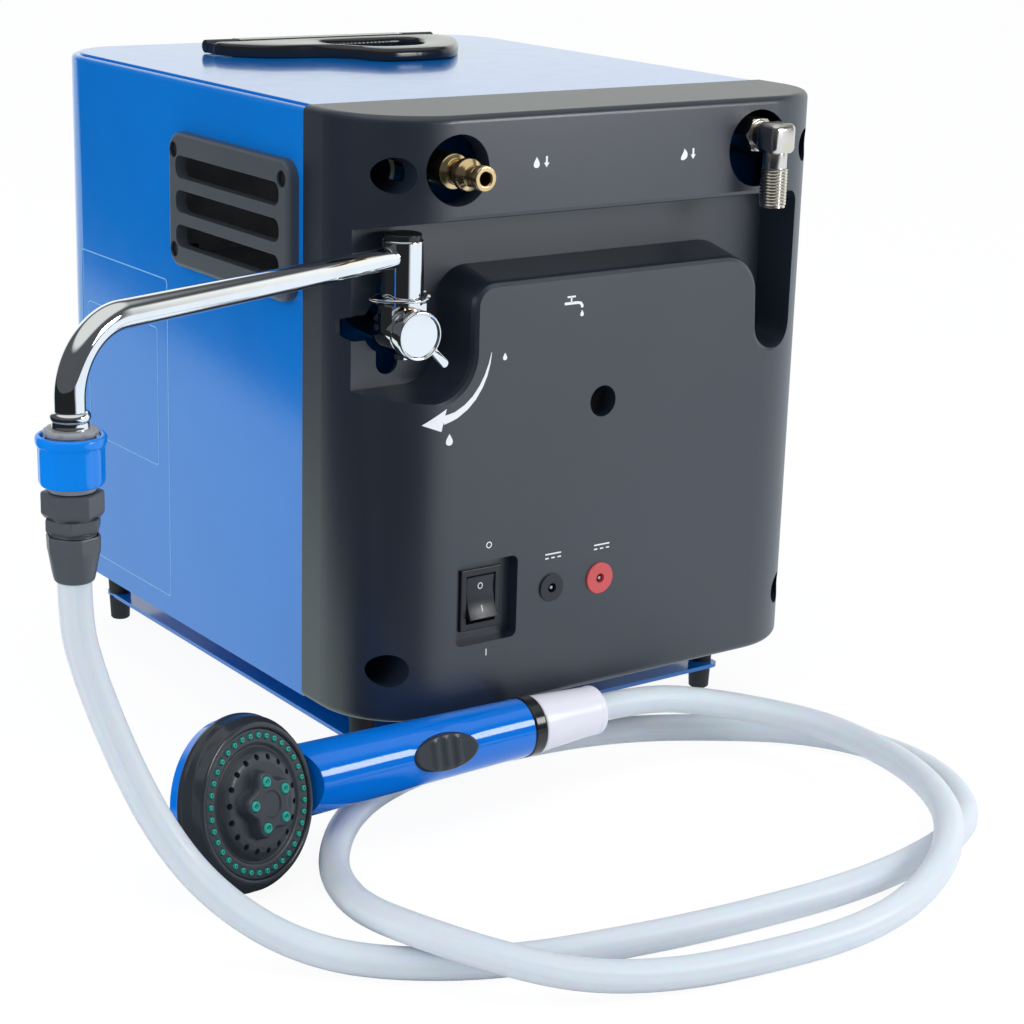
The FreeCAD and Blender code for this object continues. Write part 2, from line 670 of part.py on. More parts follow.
def recess_corners(grow):
    """Outline of the panel's recess: the strip under the band, the tap pocket and the right leg."""
    beyond = number(panel_half) + RECESS_BEYOND
    left, right, top = number(face_left), number(face_right), number(face_top)
    band_low = number(case_top - s.band_drop)
    pocket_low = number(case_top - s.pocket_drop)
    leg_low, leg_left = number(case_top - s.leg_drop), right + number(s.leg_gap)
    leg_bend = number(s.leg_bend)
    return (
        (-beyond, pocket_low - grow, SHARP),
        (left + grow, pocket_low - grow, number(s.pocket_bend) + grow),
        (left + grow, top - grow, max(number(s.face_bend) - grow, LEAST_BEND)),
        (right - grow, top - grow, max(number(s.face_bend_right) - grow, LEAST_BEND)),
        (leg_left - grow, leg_low - grow, leg_bend + grow),
        (number(leg_right) + grow, leg_low - grow, leg_bend + grow),
        (number(leg_right) + grow, band_low + grow, number(s.recess_bend) + grow),
        (-beyond, band_low + grow, SHARP),
    )


def recess_shape(wall):
    """Drafted recess with an eased rim; a wall thickness makes it the lining of the recess."""
    front = number(panel_front)
    ease_in = number(s.recess_ease)
    floor_y = number(recess_floor) + wall
    levels = ((front - THROUGH, ease_in + wall), (front, ease_in + wall),
              (front + ease_in * 0.4, ease_in * 0.3 + wall), (front + ease_in * 1.3, wall),
              (floor_y, wall - number(s.recess_draft)))
    wires = [rounded_outline(recess_corners(grow), y) for y, grow in levels]
    parts = [Part.makeLoft(wires[i:i + 2], True, True) for i in range(len(wires) - 1)]
    return parts[0].multiFuse(parts[1:]).removeSplitter()


def panel_block(name, shrink, depth_less):
    """The panel's outer form, or the room inside it when shrunk by the wall."""
    form = Body(name)
    plan = rectangle(shrink - panel_half, panel_front + shrink,
                     panel_half - shrink, case_front + depth_less)
    form.pad(form.sketch("XY", floor_to_case + shrink, plan), panel_top - floor_to_case - 2 * shrink)
    form.round(s.panel_corner - shrink,
               both(runs_along("Z"), lambda e: e.CenterOfMass.y < number(case_front) - AHEAD))
    return form


def make_front_panel():
    outer = panel_block("panel_outer", 0, 0)
    outer.round(s.panel_edge, lambda e: not runs_along("Z")(e)
                and e.CenterOfMass.y < number(case_front) - 2 and e.BoundBox.ZLength < NEAR)
    inner = panel_block("panel_inner", s.panel_wall, 2)
    lining = fixed("panel_lining", recess_shape(number(s.panel_wall)))
    wells = [rod(f"well_tube_{i}", s.well_bore + s.well_wall, s.panel_depth + AHEAD,
                 (x, panel_front - AHEAD, z), "Y") for i, (x, z) in enumerate(well_places())]
    tray = block("switch_tray", (s.switch_width + 2 * s.panel_wall, s.switch_depth + s.panel_wall,
                                 s.switch_height + 2 * s.panel_wall),
                 (s.switch_x - s.switch_width / 2 - s.panel_wall, panel_front,
                  s.switch_z - s.switch_height / 2 - s.panel_wall))
    sight = rod("sight_tube", s.sight_bore + s.well_wall, s.sight_depth, (s.sight_x, panel_front,
                                                                         sight_z), "Y")
    hollow = cut("panel_hollow", inner.body, lining, *wells, tray, sight)
    shell = cut("panel_shell", outer.body, hollow)
    recess = fixed("panel_recess", recess_shape(0.0))
    bores = [rod(f"well_bore_{i}", s.well_bore, s.panel_depth - s.well_floor + AHEAD,
                 (x, panel_front - AHEAD, z), "Y") for i, (x, z) in enumerate(well_places())]
    screws = [rod(f"well_screw_{i}", s.foot_bolt, s.panel_depth + THROUGH, (x, panel_front, z), "Y")
              for i, (x, z) in enumerate(well_places())]
    inlets = [rod(f"inlet_hole_{i}", s.inlet_hole, s.panel_depth / 2,
                  (x, panel_front - AHEAD, inlet_z), "Y")
              for i, x in enumerate((water_x, half_case - s.gas_hole_inset))]
    sockets = [rod(f"socket_hole_{i}", radius + s.fit, s.panel_depth / 2,
                   (x, panel_front - AHEAD, s.socket_z), "Y")
               for i, (x, radius) in enumerate(((s.black_socket_x, s.black_socket_r),
                                                (s.red_socket_x, s.red_socket_r)))]
    sight_hole = rod("sight_hole", s.sight_bore, s.panel_depth / 2,
                     (s.sight_x, panel_front - AHEAD, sight_z), "Y")
    switch = Body("switch_recess")
    switch.pad(switch.sketch("XZ", panel_front - AHEAD, centred(
        s.switch_x, s.switch_z, s.switch_width, s.switch_height)), s.switch_depth + AHEAD, away=True)
    switch.round(s.switch_corner, runs_along("Y"))
    bezel = block("bezel_hole", (s.bezel_width - 2 * s.bezel_lip + 2 * s.fit, s.panel_depth / 2,
                                 s.bezel_height - 2 * s.bezel_lip + 2 * s.fit),
                  (s.switch_x - s.bezel_width / 2 + s.bezel_lip - s.fit, panel_front,
                   s.switch_z - s.bezel_height / 2 + s.bezel_lip - s.fit))
    feet = [rod(f"panel_foot_{kind}_{i}", radius, THROUGH, (x, y, low))
            for i, (x, y) in enumerate(foot_places) if number(y) < 0
            for kind, radius, low in (("shank", s.foot_bolt + s.fit, floor_to_case - AHEAD),
                                      ("head", s.bolt_head + s.fit, floor_to_case + s.pan_sheet))]
    start, run = recess_floor - AHEAD, THROUGH + AHEAD
    tap = rod("tap_hole_form", s.tap_hole, run, (tap_x, start, tap_z), "Y")
    upright = block("tap_lobe_upright", (s.lobe_width, run, 2 * s.lobe_reach - s.lobe_width),
                    (tap_x - s.lobe_width / 2, start,
                     tap_z - s.lobe_reach + s.lobe_width / 2))
    level = block("tap_lobe_level", (2 * s.lobe_reach - s.lobe_width, run, s.lobe_width),
                  (tap_x - s.lobe_reach + s.lobe_width / 2, start,
                   tap_z - s.lobe_width / 2))
    ends = [rod(f"tap_lobe_{i}", s.lobe_width / 2, run,
                (tap_x + dx * (s.lobe_reach - s.lobe_width / 2), start,
                 tap_z + dz * (s.lobe_reach - s.lobe_width / 2)), "Y")
            for i, (dx, dz) in enumerate(((1, 0), (-1, 0), (0, 1), (0, -1)))]
    node(cut("front_panel", shell, recess, *bores, *screws, *inlets, *sockets, sight_hole,
             switch.body, bezel, tap, upright, level, *ends, *feet), "front_panel")

    screw = Body("panel_screw_form")
    seat = s.panel_depth - s.well_floor
    screw.spin(screw.sketch("XY", 0, (
        (0, seat - s.bolt_head_height / 2), (s.bolt_head, seat - s.bolt_head_height / 2),
        (s.bolt_head, seat), (s.foot_bolt - s.fit, seat),
        (s.foot_bolt - s.fit, s.panel_depth + s.screw_reach), (0, s.panel_depth + s.screw_reach))))
    node(copies("panel_screws", screw.body, [(x, panel_front, z) for x, z in well_places()]),
         "panel_screws")

    node(rod("flame_window", s.sight_bore + s.well_wall, s.window_sheet,
             (s.sight_x, panel_front + s.sight_depth, sight_z), "Y"), "flame_window")


# ---------------------------------------------------------------------------------------
# Side grilles
# ---------------------------------------------------------------------------------------

def make_grille(name, side):
    """Moulded grille: flat body, thick rounded rim, long slots and four screw wells."""
    grille = Body(f"{name}_form")
    axis = "X" if side > 0 else "-X"
    face = half_case * side
    frame = rectangle(grille_y - s.grille_width / 2, grille_z - s.grille_height / 2,
                      grille_y + s.grille_width / 2, grille_z + s.grille_height / 2)
    grille.pad(grille.sketch("YZ", face, frame), s.grille_proud, away=side < 0)
    grille.round(s.grille_corner, runs_along("X"))
    outside = face + s.grille_proud * side
    grille.round(s.grille_bevel, lies_at("X", outside))
    reach = s.grille_height - 2 * s.slot_edge - s.slot_height
    first = grille_z - reach / 2
    half = s.grille_width / 2 - s.slot_margin
    slot = grille.sketch("YZ", face - side * AHEAD, rectangle(
        grille_y - half, first - s.slot_height / 2, grille_y + half, first + s.slot_height / 2))
    opening = grille.pocket(slot, s.grille_proud + THROUGH, away=side > 0)
    grille.repeat(opening, (slot, ["V_Axis"]), reach, s.slot_count)
    grille.round(s.slot_height / 2 - 1, both(runs_along("X"), lambda e: abs(
        abs(e.CenterOfMass.y - number(grille_y)) - number(half)) < NEAR))
    wells = [rod(f"{name}_well_{i}", s.grille_screw_r, s.grille_proud, (
        outside - side * s.grille_bevel, y, z), axis)
        for i, (y, z) in enumerate(grille_screw_places())]
    bores = [rod(f"{name}_bore_{i}", s.grille_screw_r / 2, s.grille_proud * 2, (
        face - side, y, z), axis) for i, (y, z) in enumerate(grille_screw_places())]
    node(cut(name, grille.body, *wells, *bores), name)


def make_grille_screws():
    screws = []
    for side in (-1, 1):
        seat = (half_case + s.grille_proud - s.grille_bevel) * side
        axis = "-X" if side > 0 else "X"
        for i, (y, z) in enumerate(grille_screw_places()):
            head = rod(f"grille_head_{side}_{i}", s.grille_screw_r - s.fit, s.screw_head_height,
                       (seat + side * s.screw_head_height, y, z), axis)
            shank = rod(f"grille_shank_{side}_{i}", s.grille_screw_r / 2 - s.fit, s.screw_length,
                        (seat, y, z), axis)
            screws.append(fuse(f"grille_screw_{side}_{i}", head, shank))
    node(group("grille_screws", screws), "grille_screws")


# ---------------------------------------------------------------------------------------
# Burner, heat exchanger and the rest of the inside
# ---------------------------------------------------------------------------------------

def sheet_box(name, low, high, open_along):
    """A sheet metal box, open at both ends along one axis."""
    size = [high[i] - low[i] for i in range(3)]
    outer = block(f"{name}_outer", size, low)
    wall = s.inner_sheet
    inner_low = [low[i] - 1 if axis in open_along else low[i] + wall
                 for i, axis in enumerate("XYZ")]
    inner_size = [size[i] + 2 if axis in open_along else size[i] - 2 * wall
                  for i, axis in enumerate("XYZ")]
    return cut(name, outer, block(f"{name}_inner", inner_size, inner_low))


def make_burner():
    """Combustion chamber standing on the pan, slotted burner bars inside it and their manifold."""
    node(sheet_box("combustion_chamber", (-stack_x, stack_front, pan_top),
                   (stack_x, stack_back, chamber_top), "Z"), "combustion_chamber")
    inside = s.stack_depth - 2 * s.inner_sheet
    spread = 2 * (stack_x - s.inner_sheet - s.burner_margin) - s.burner_bar
    bars = []
    for i in range(int(number(s.burner_count))):
        left = spread * (i / (number(s.burner_count) - 1) - 0.5) - s.burner_bar / 2
        bars.append(sheet_box(f"burner_bar_{i}", (left, stack_front + s.inner_sheet, s.burner_low),
                              (left + s.burner_bar, stack_front + s.inner_sheet + inside,
                               s.burner_low + s.burner_height), "Z"))
    tie = block("burner_tie", (2 * (stack_x - s.inner_sheet), s.burner_bar, s.burner_bar / 2),
                (s.inner_sheet - stack_x, stack_front + s.stack_depth / 2, s.burner_low))
    node(fuse("burner", tie, *bars), "burner")
    node(rod("manifold_form", s.pipe_radius, 2 * stack_x, (
        -stack_x, stack_front - s.pipe_radius, s.burner_low + s.burner_height / 2), "X"),
        "gas_manifold")


def make_exchanger():
    """Finned copper exchanger on the chamber, and the flue duct above it out to both grilles."""
    inside = s.stack_depth - 2 * s.inner_sheet
    jacket = sheet_box("exchanger_jacket", (-stack_x, stack_front, chamber_top),
                       (stack_x, stack_back, exchanger_top), "Z")
    count = int(number(2 * stack_x / s.fin_pitch)) - 1
    fin_low = exchanger_top - s.fin_drop - s.fin_height
    fins = [block(f"exchanger_fin_{i}", (s.fin_sheet, inside + s.fit, s.fin_height),
                  ((i - (count - 1) / 2) * s.fin_pitch - s.fin_sheet / 2,
                   stack_front + s.inner_sheet - s.fit / 2, fin_low)) for i in range(count)]
    tubes = [rod(f"exchanger_tube_{i}", s.pipe_radius, 2 * stack_x, (
        -stack_x, stack_front + s.stack_depth * (i + 1) / (s.tube_count + 1),
        fin_low + s.fin_height / 2), "X") for i in range(int(number(s.tube_count)))]
    node(fuse("heat_exchanger", jacket, *fins, *tubes), "heat_exchanger")
    flue_side = half_case - s.sheet - s.fit
    duct = sheet_box("flue_duct_form", (-flue_side, stack_front - s.flue_margin, exchanger_top),
                     (flue_side, stack_back + s.flue_margin, flue_top), "X")
    mouth = block("flue_mouth", (2 * (stack_x - s.inner_sheet), inside, THROUGH),
                  (s.inner_sheet - stack_x, stack_front + s.inner_sheet, exchanger_top - THROUGH / 2))
    node(cut("flue_duct", duct, mouth), "flue_duct")


def make_valves_and_pipes():
    """Water valve on the left, gas valve on the right, ignition module between, and the pipes."""
    low_z = s.burner_low + s.burner_height / 2
    block_y = stack_back + s.block_setback
    water_left = s.water_block_gap - half_case
    gas_left = half_case - s.gas_block_gap - s.gas_block_width
    node(block("water_valve_block", (s.water_block, s.water_block, s.water_block_height),
               (water_left, block_y, pan_top)), "water_valve")
    node(block("gas_valve_block", (s.gas_block_width, s.gas_block_depth, s.gas_block_height),
               (gas_left, block_y, pan_top)), "gas_valve")
    node(block("ignition_box", (s.igniter_width, s.igniter_depth, s.igniter_height),
               (-s.igniter_width / 2, block_y + s.pipe_setback, pan_top)), "ignition_module")
    back_y = stack_back + s.flue_margin + s.pipe_setback
    pipe("cold_water_pipe", (
        (water_x, case_front - s.tail_gap, inlet_z), (water_x, back_y, inlet_z),
        (water_x, back_y, pan_top + s.water_block_height)), [15])
    gas_down = gas_left + s.gas_block_width / 2
    pipe("gas_pipe", (
        (gas_x, case_front, gas_z), (gas_x, back_y, gas_z),
        (gas_down, back_y, gas_z - 2 * (gas_down - gas_x)),
        (gas_down, back_y, pan_top + s.gas_block_height)), [13, 30])
    feed_x, feed_y = s.fin_drop - stack_x, stack_back + 2 * s.pipe_radius
    hot_y, hot_z = stack_front + s.stack_depth / 2, fin_middle()
    pipe("hot_water_pipe", (
        (tap_x, tap_back, tap_z), (tap_x, hot_y, tap_z),
        (tap_x + s.stack_setback, hot_y, hot_z), (-stack_x, hot_y, hot_z)), [BEND, BEND])
    feed_z = pan_top + s.water_block_height / 2
    pipe("exchanger_feed_pipe", (
        (water_left + s.water_block, back_y, feed_z), (feed_x, back_y, feed_z),
        (feed_x, feed_y, feed_z + 2 * s.pipe_setback), (feed_x, feed_y, hot_z),
        (feed_x, stack_back, hot_z)), [BEND, WIDE_BEND, TIGHT_BEND])
    out_x, front_y = stack_x + s.block_setback + s.pipe_radius * 1.5, stack_front - s.pipe_radius
    pipe("manifold_feed_pipe", (
        (out_x, block_y, low_z), (out_x, front_y, low_z), (stack_x, front_y, low_z)), [BEND])


def fin_middle():
    return exchanger_top - s.fin_drop - s.fin_height / 2


# ---------------------------------------------------------------------------------------
# Inlets
# ---------------------------------------------------------------------------------------

def make_water_inlet():
    """Brass hose tail: body through the bulkhead, neck, ridge, groove and bored tip."""
    tail = Body("tail_form")
    front = panel_front - s.tail_proud
    length = case_front - s.tail_gap - front
    tail.spin(tail.sketch("XY", 0, (
        (s.tail_bore, 0), (s.tail_tip, 0), (s.tail_tip, s.tip_end), (s.tail_neck, s.groove_start),
        (s.tail_neck, s.groove_end), (s.tail_ridge, s.ridge_start), (s.tail_ridge, s.ridge_end),
        (s.tail_tip, s.collar_start), (s.tail_tip, s.collar_end), (s.tail_body, s.body_start),
        (s.tail_body, length), (s.tail_bore, length))))
    tail.round(s.small_edge, lambda e: e.Curve.TypeId == "Part::GeomCircle" and e.CenterOfMass.y < 1,
               "Fillet")
    put(tail.body, (water_x, front, inlet_z))
    node(tail.body, "water_inlet_tail")


def make_gas_inlet():
    """Forged elbow with a square shoulder, a threaded leg that points down, and its nut."""
    front = panel_front - s.elbow_proud
    low = gas_z - s.elbow_drop
    side = s.elbow_block
    run = rod("elbow_run", s.elbow_radius, case_front - front, (gas_x, front, gas_z), "Y")
    shoulder = block("elbow_shoulder", (side, side, side), (gas_x - side / 2, front - side / 2,
                                                            gas_z - side / 2))
    shoulder = ease("elbow_shoulder_eased", shoulder, s.elbow_round, lambda e: True)
    neck = rod("elbow_neck_form", s.elbow_neck, s.elbow_drop, (gas_x, front, low))
    thread = rod("elbow_thread", s.elbow_radius, s.thread_length, (gas_x, front, low))
    bore = rod("elbow_bore_form", s.elbow_bore, s.elbow_drop + 1, (gas_x, front, low - 1))
    bore_back = rod("elbow_bore_back", s.elbow_bore, case_front - front + 1,
                    (gas_x, front, gas_z), "Y")
    node(cut("gas_inlet_elbow", fuse("elbow_form", run, shoulder, neck, thread), bore, bore_back),
         "gas_inlet_elbow")
    nut_front = front + side / 2 + s.hex_gap
    nut = hexagon("gas_nut_form", s.elbow_hex, s.hex_length, (gas_x, nut_front, gas_z), "Y")
    sleeve = rod("gas_nut_sleeve", s.elbow_flange, case_front - nut_front - s.hex_length,
                 (gas_x, nut_front + s.hex_length, gas_z), "Y")
    hole = rod("gas_nut_hole", s.elbow_radius, case_front - front + THROUGH,
               (gas_x, front, gas_z), "Y")
    node(cut("gas_nut", fuse("gas_nut_body", nut, sleeve), hole), "gas_nut")


# ---------------------------------------------------------------------------------------
# Tap, spout and quick connector
# ---------------------------------------------------------------------------------------

post_low = tap_z + s.tap_radius - s.post_socket
skirt_low = tap_z + s.tap_radius + s.socket_rise


def make_tap():
    """Valve body with the socket for the swivel post, and the knob's stem bore at its front."""
    barrel = rod("tap_barrel", s.tap_radius, tap_back - tap_front, (tap_x, tap_front, tap_z), "Y")
    barrel = ease("tap_barrel_eased", barrel, s.soft_edge, lies_at("Y", tap_front))
    socket = rod("tap_socket", s.post_radius + s.socket_wall, skirt_low - tap_z, (tap_x, post_y,
                                                                                 tap_z))
    trim = rod("tap_front_trim", 2 * s.tap_radius, 2 * s.tap_radius, (
        tap_x, tap_front + s.socket_rise, tap_z), "-Y")
    socket = cut("tap_socket_trimmed", socket, trim)
    socket_cut = rod("tap_socket_bore", s.spigot_radius + s.bore_gap, s.tap_radius * 3,
                     (tap_x, post_y, post_low))
    stem = rod("tap_stem_bore", s.knob_stem + s.bore_gap, s.stem_reach + 1,
               (tap_x, tap_front - 1, tap_z), "Y")
    drain_at = (tap_x, post_y, tap_z - s.tap_radius - 1)
    drain_hole = rod("tap_drain_bore", s.drain_radius / 2, s.drain_length, drain_at)
    node(cut("tap_body", fuse("tap_body_form", barrel, socket), socket_cut, stem, drain_hole),
         "tap_body")
    head = rod("drain_head_form", s.drain_radius, s.drain_head, (
        tap_x, post_y, tap_z - s.tap_radius - s.drain_head))
    shank = rod("drain_shank", s.drain_radius / 2, s.drain_length, drain_at)
    node(fuse("drain_form", head, shank), "drain_screw")


def make_post():
    """Swivel post on a spigot that turns in the tap's socket, with a plain cap and a wire clip."""
    low = skirt_low + s.bore_gap
    skirt = rod("post_skirt", s.post_radius, post_top - low, (tap_x, post_y, low))
    skirt = ease("post_skirt_eased", skirt, s.cap_edge, lies_at("Z", post_top))
    straight = s.spout_reach - s.spout_bend
    seat = taper("post_seat", s.spout_root, s.spout_tip, straight, (tap_x, post_y, spout_z), "-X")
    turn = Rotation(AXES["Z"], number(s.spout_turn)).multiply(facing("-X"))
    seat.Placement = Placement(seat.Placement.Base, turn)
    groove = doc.addObject("Part::Torus", "post_groove")
    bind(groove, "Radius1", s.post_radius)
    bind(groove, "Radius2", s.clip_wire + s.bore_gap * 2)
    put(groove, (tap_x, post_y, low + s.clip_rise))
    node(cut("swivel_post", skirt, seat, groove), "swivel_post")
    node(rod("spigot_form", s.spigot_radius, low - post_low - s.bore_gap, (
        tap_x, post_y, post_low + s.bore_gap)), "post_spigot")
    cap = rod("post_cap_form", s.post_radius - s.cap_edge, s.cap_height, (tap_x, post_y, post_top))
    node(ease("post_cap_eased", cap, s.small_edge, lies_at("Z", post_top + s.cap_height)), "post_cap")
    ring = doc.addObject("Part::Torus", "clip_ring")
    bind(ring, "Radius1", s.post_radius)
    bind(ring, "Radius2", s.clip_wire)
    ring.Angle3 = number(s.clip_sweep)
    put(ring, (tap_x, post_y, low + s.clip_rise))
    ring.Placement = Placement(ring.Placement.Base, Rotation(AXES["Z"], number(s.clip_sweep) / 2))
    node(ring, "post_clip")


def spout_frame():
    """Direction of the spout in plan, and the point above its open end."""
    angle = math.radians(180 + number(s.spout_turn))
    ahead = Vector(math.cos(angle), math.sin(angle), 0)
    root = point(tap_x, post_y, spout_z)
    return ahead, root, root + ahead * number(s.spout_reach)


def make_spout():
    """Chrome spout: straight run that widens away from the post, one bend, short drop."""
    ahead, root, over = spout_frame()
    bend = number(s.spout_bend)
    straight = number(s.spout_reach) - bend
    thin, wide = number(s.spout_root), number(s.spout_tip)
    run = Part.makeCone(thin, wide, straight, root, ahead)
    rings = (Part.Wire([Part.Circle(root + ahead * straight, ahead, wide).toShape()]),)
    start = root + ahead * straight
    end = Vector(over.x, over.y, root.z - bend)
    middle = start + Vector(0, 0, -bend) + (ahead * math.sin(math.pi / 4)
                                            + Vector(0, 0, math.cos(math.pi / 4))) * bend
    arc = Part.Arc(start, middle, end).toShape()
    drop = Part.LineSegment(end, Vector(over.x, over.y, number(spout_z - s.spout_drop))).toShape()
    curve = Part.Wire([arc, drop]).makePipeShell(list(rings), True, False)
    trim = Part.makeCylinder(number(s.spigot_radius) + 1, 2 * bend,
                             Vector(root.x, root.y, root.z - bend), AXES["Z"])
    solid = run.fuse(curve).cut(trim).removeSplitter()
    solid = max(solid.Solids, key=lambda piece: piece.Volume)
    node(fixed("spout", solid), "spout")
    return over


def make_connector(over):
    """Ring, insert, sliding collar, hexagon adapter and clamp nut under the spout's end."""
    x, y = over.x, over.y
    ring_low = spout_z - s.spout_drop - s.tip_ring_height
    ring = rod("tip_ring_form", s.tip_ring, s.tip_ring_height, (x, y, ring_low))
    node(ease("tip_ring_eased", ring, s.tip_ring_height / 2 - s.fit, round_edge), "spout_tip_ring")
    insert_low = ring_low - s.insert_height
    core_length = s.collar_height + s.core_extra
    neck = rod("insert_neck", s.core_radius, core_length, (x, y, insert_low - core_length))
    flange = rod("insert_flange", s.insert_radius, s.insert_height, (x, y, insert_low))
    node(fuse("connector_insert", neck, flange), "connector_insert")
    collar_top = insert_low - s.collar_gap
    collar_low = collar_top - s.collar_height
    sleeve = rod("collar_sleeve", s.collar_radius, s.collar_height, (x, y, collar_low))
    rim = rod("collar_rim_form", s.collar_rim, s.collar_rim_height, (
        x, y, collar_top - s.collar_rim_height))
    bore = rod("collar_bore", s.core_radius + s.bore_gap, s.collar_height + 2, (x, y, collar_low - 1))
    form = ease("collar_eased", fuse("collar_form", sleeve, rim), s.fine_edge, both(
        round_edge, lambda e: e.BoundBox.ZLength < NEAR))
    node(cut("connector_collar", form, bore), "connector_collar")
    adapter_top = collar_low - s.collar_travel - s.collar_gap
    middle = adapter_top - s.adapter_height
    adapter_low = middle - s.adapter_low_height
    upper = hexagon("adapter_upper", s.adapter_hex, s.adapter_height, (x, y, middle))
    lower = hexagon("adapter_lower", s.adapter_hex_low, s.adapter_low_height, (x, y, adapter_low))
    socket = rod("adapter_socket", s.core_radius, s.adapter_height + core_length, (
        x, y, insert_low - core_length))
    node(cut("hose_adapter", fuse("adapter_form", upper, lower), socket), "hose_adapter")
    hexed = hexagon("nut_hex_form", s.nut_hex, s.nut_hex_height, (x, y, adapter_low
                                                                  - s.nut_hex_height))
    cone = taper("nut_cone_form", s.nut_low_radius, s.nut_cone, s.nut_height - s.nut_hex_height,
                 (x, y, adapter_low - s.nut_height))
    node(fuse("clamp_nut", hexed, cone), "clamp_nut")
    return number(adapter_low - s.nut_height)


def make_flow_knob():
    """Round knob with a raised rim and a short lever, on a stem in the tap's front."""
    low = tap_front - s.knob_gap
    face = low - s.knob_thick
    disc = rod("knob_disc", s.knob_radius, s.knob_thick, (tap_x, low, tap_z), "-Y")
    disc = ease("knob_disc_eased", disc, s.knob_dish, round_edge)
    dish = rod("knob_dish_form", s.knob_radius - s.knob_rim, THROUGH, (tap_x, face + s.knob_dish,
                                                                       tap_z), "-Y")
    stem = rod("knob_stem_form", s.knob_stem, s.stem_reach + s.knob_gap, (tap_x, low, tap_z), "Y")
    lever = block("knob_lever", (s.lever_length, s.lever_thick, s.lever_width), (0, 0, 0))
    turn = Rotation(AXES["Y"], number(s.lever_angle))
    start = turn.multVec(point(0, 0, -s.lever_width / 2))
    lever.Placement = Placement(point(tap_x, face + s.knob_dish, tap_z) + start, turn)
    lever = ease("knob_lever_eased", lever, s.soft_edge,
                 lambda e: abs(e.Length - number(s.lever_thick)) < NEAR)
    node(fuse("flow_knob", cut("knob_head", disc, dish), lever, stem), "flow_knob")


# ---------------------------------------------------------------------------------------
# Switch and sockets
# ---------------------------------------------------------------------------------------

rocker_pin_y = panel_front + s.switch_depth + s.rocker_axis


def make_switch():
    """Bezel with a frame lip in the panel's recess, and the rocker on its pin."""
    seat = panel_front + s.switch_depth
    lip = block("bezel_lip_form", (s.bezel_width, s.bezel_proud, s.bezel_height), (
        s.switch_x - s.bezel_width / 2, seat - s.bezel_proud, s.switch_z - s.bezel_height / 2))
    lip = ease("bezel_lip_eased", lip, s.small_edge, lies_at("Y", seat - s.bezel_proud))
    inside_x, inside_z = s.bezel_width - 2 * s.bezel_lip, s.bezel_height - 2 * s.bezel_lip
    can = block("bezel_can", (inside_x, s.bezel_depth, inside_z),
                (s.switch_x - inside_x / 2, seat, s.switch_z - inside_z / 2))
    room_x, room_z = s.rocker_width + 2 * s.rocker_gap, s.rocker_height + 2 * s.rocker_gap
    room = block("bezel_room", (room_x, s.bezel_depth, room_z), (
        s.switch_x - room_x / 2, seat - s.bezel_proud - 1, s.switch_z - room_z / 2))
    pin_length = room_x + 2 * s.rocker_pin
    pin_at = (s.switch_x - pin_length / 2, rocker_pin_y, s.switch_z)
    pin_hole = rod("bezel_pin_hole", s.rocker_pin + s.bore_gap, pin_length + s.fit, pin_at, "X")
    node(cut("switch_bezel", fuse("bezel_form", lip, can), room, pin_hole), "switch_bezel")

    rocker = Body("rocker_form")
    high, dip = s.rocker_height / 2 - s.rocker_pin * 1.5, s.rocker_dip
    rocker.pad(rocker.sketch("YZ", -s.rocker_width / 2, (
        (-s.rocker_tip, -high), (-dip, 0), (-s.rocker_tip, high), (s.rocker_axis / 2, high / 2),
        (s.rocker_axis, 0), (s.rocker_axis / 2, -high / 2))), s.rocker_width)
    rocker.body.Placement = Placement(point(s.switch_x, rocker_pin_y, s.switch_z),
                                      Rotation(AXES["X"], number(s.rocker_lean)))
    pin = rod("rocker_pin_form", s.rocker_pin, pin_length, pin_at, "X")
    node(fuse("power_rocker", rocker.body, pin), "power_rocker")


def make_sockets():
    """Round DC sockets with a lip outside the panel and a pin in the middle."""
    pins = []
    lip_y = panel_front - s.socket_lip
    for name, x, radius in (("dc_socket_black", s.black_socket_x, s.black_socket_r),
                            ("dc_socket_red", s.red_socket_x, s.red_socket_r)):
        barrel = rod(f"{name}_barrel", radius, s.socket_length, (x, panel_front, s.socket_z), "Y")
        lip = rod(f"{name}_lip", radius + s.socket_lip, s.socket_lip, (x, lip_y, s.socket_z), "Y")
        lip = ease(f"{name}_lip_eased", lip, 0.5, lies_at("Y", lip_y))
        bore_depth = s.socket_length - s.socket_floor
        bore = rod(f"{name}_bore", s.socket_bore, bore_depth, (x, lip_y - 1, s.socket_z), "Y")
        node(cut(name, fuse(f"{name}_form", barrel, lip), bore), name)
        pins.append(rod(f"{name}_pin", s.socket_pin, bore_depth - 2, (x, lip_y + 1, s.socket_z), "Y"))
    node(group("socket_pins", pins), "socket_pins")


# ---------------------------------------------------------------------------------------
# Carry handle
# ---------------------------------------------------------------------------------------

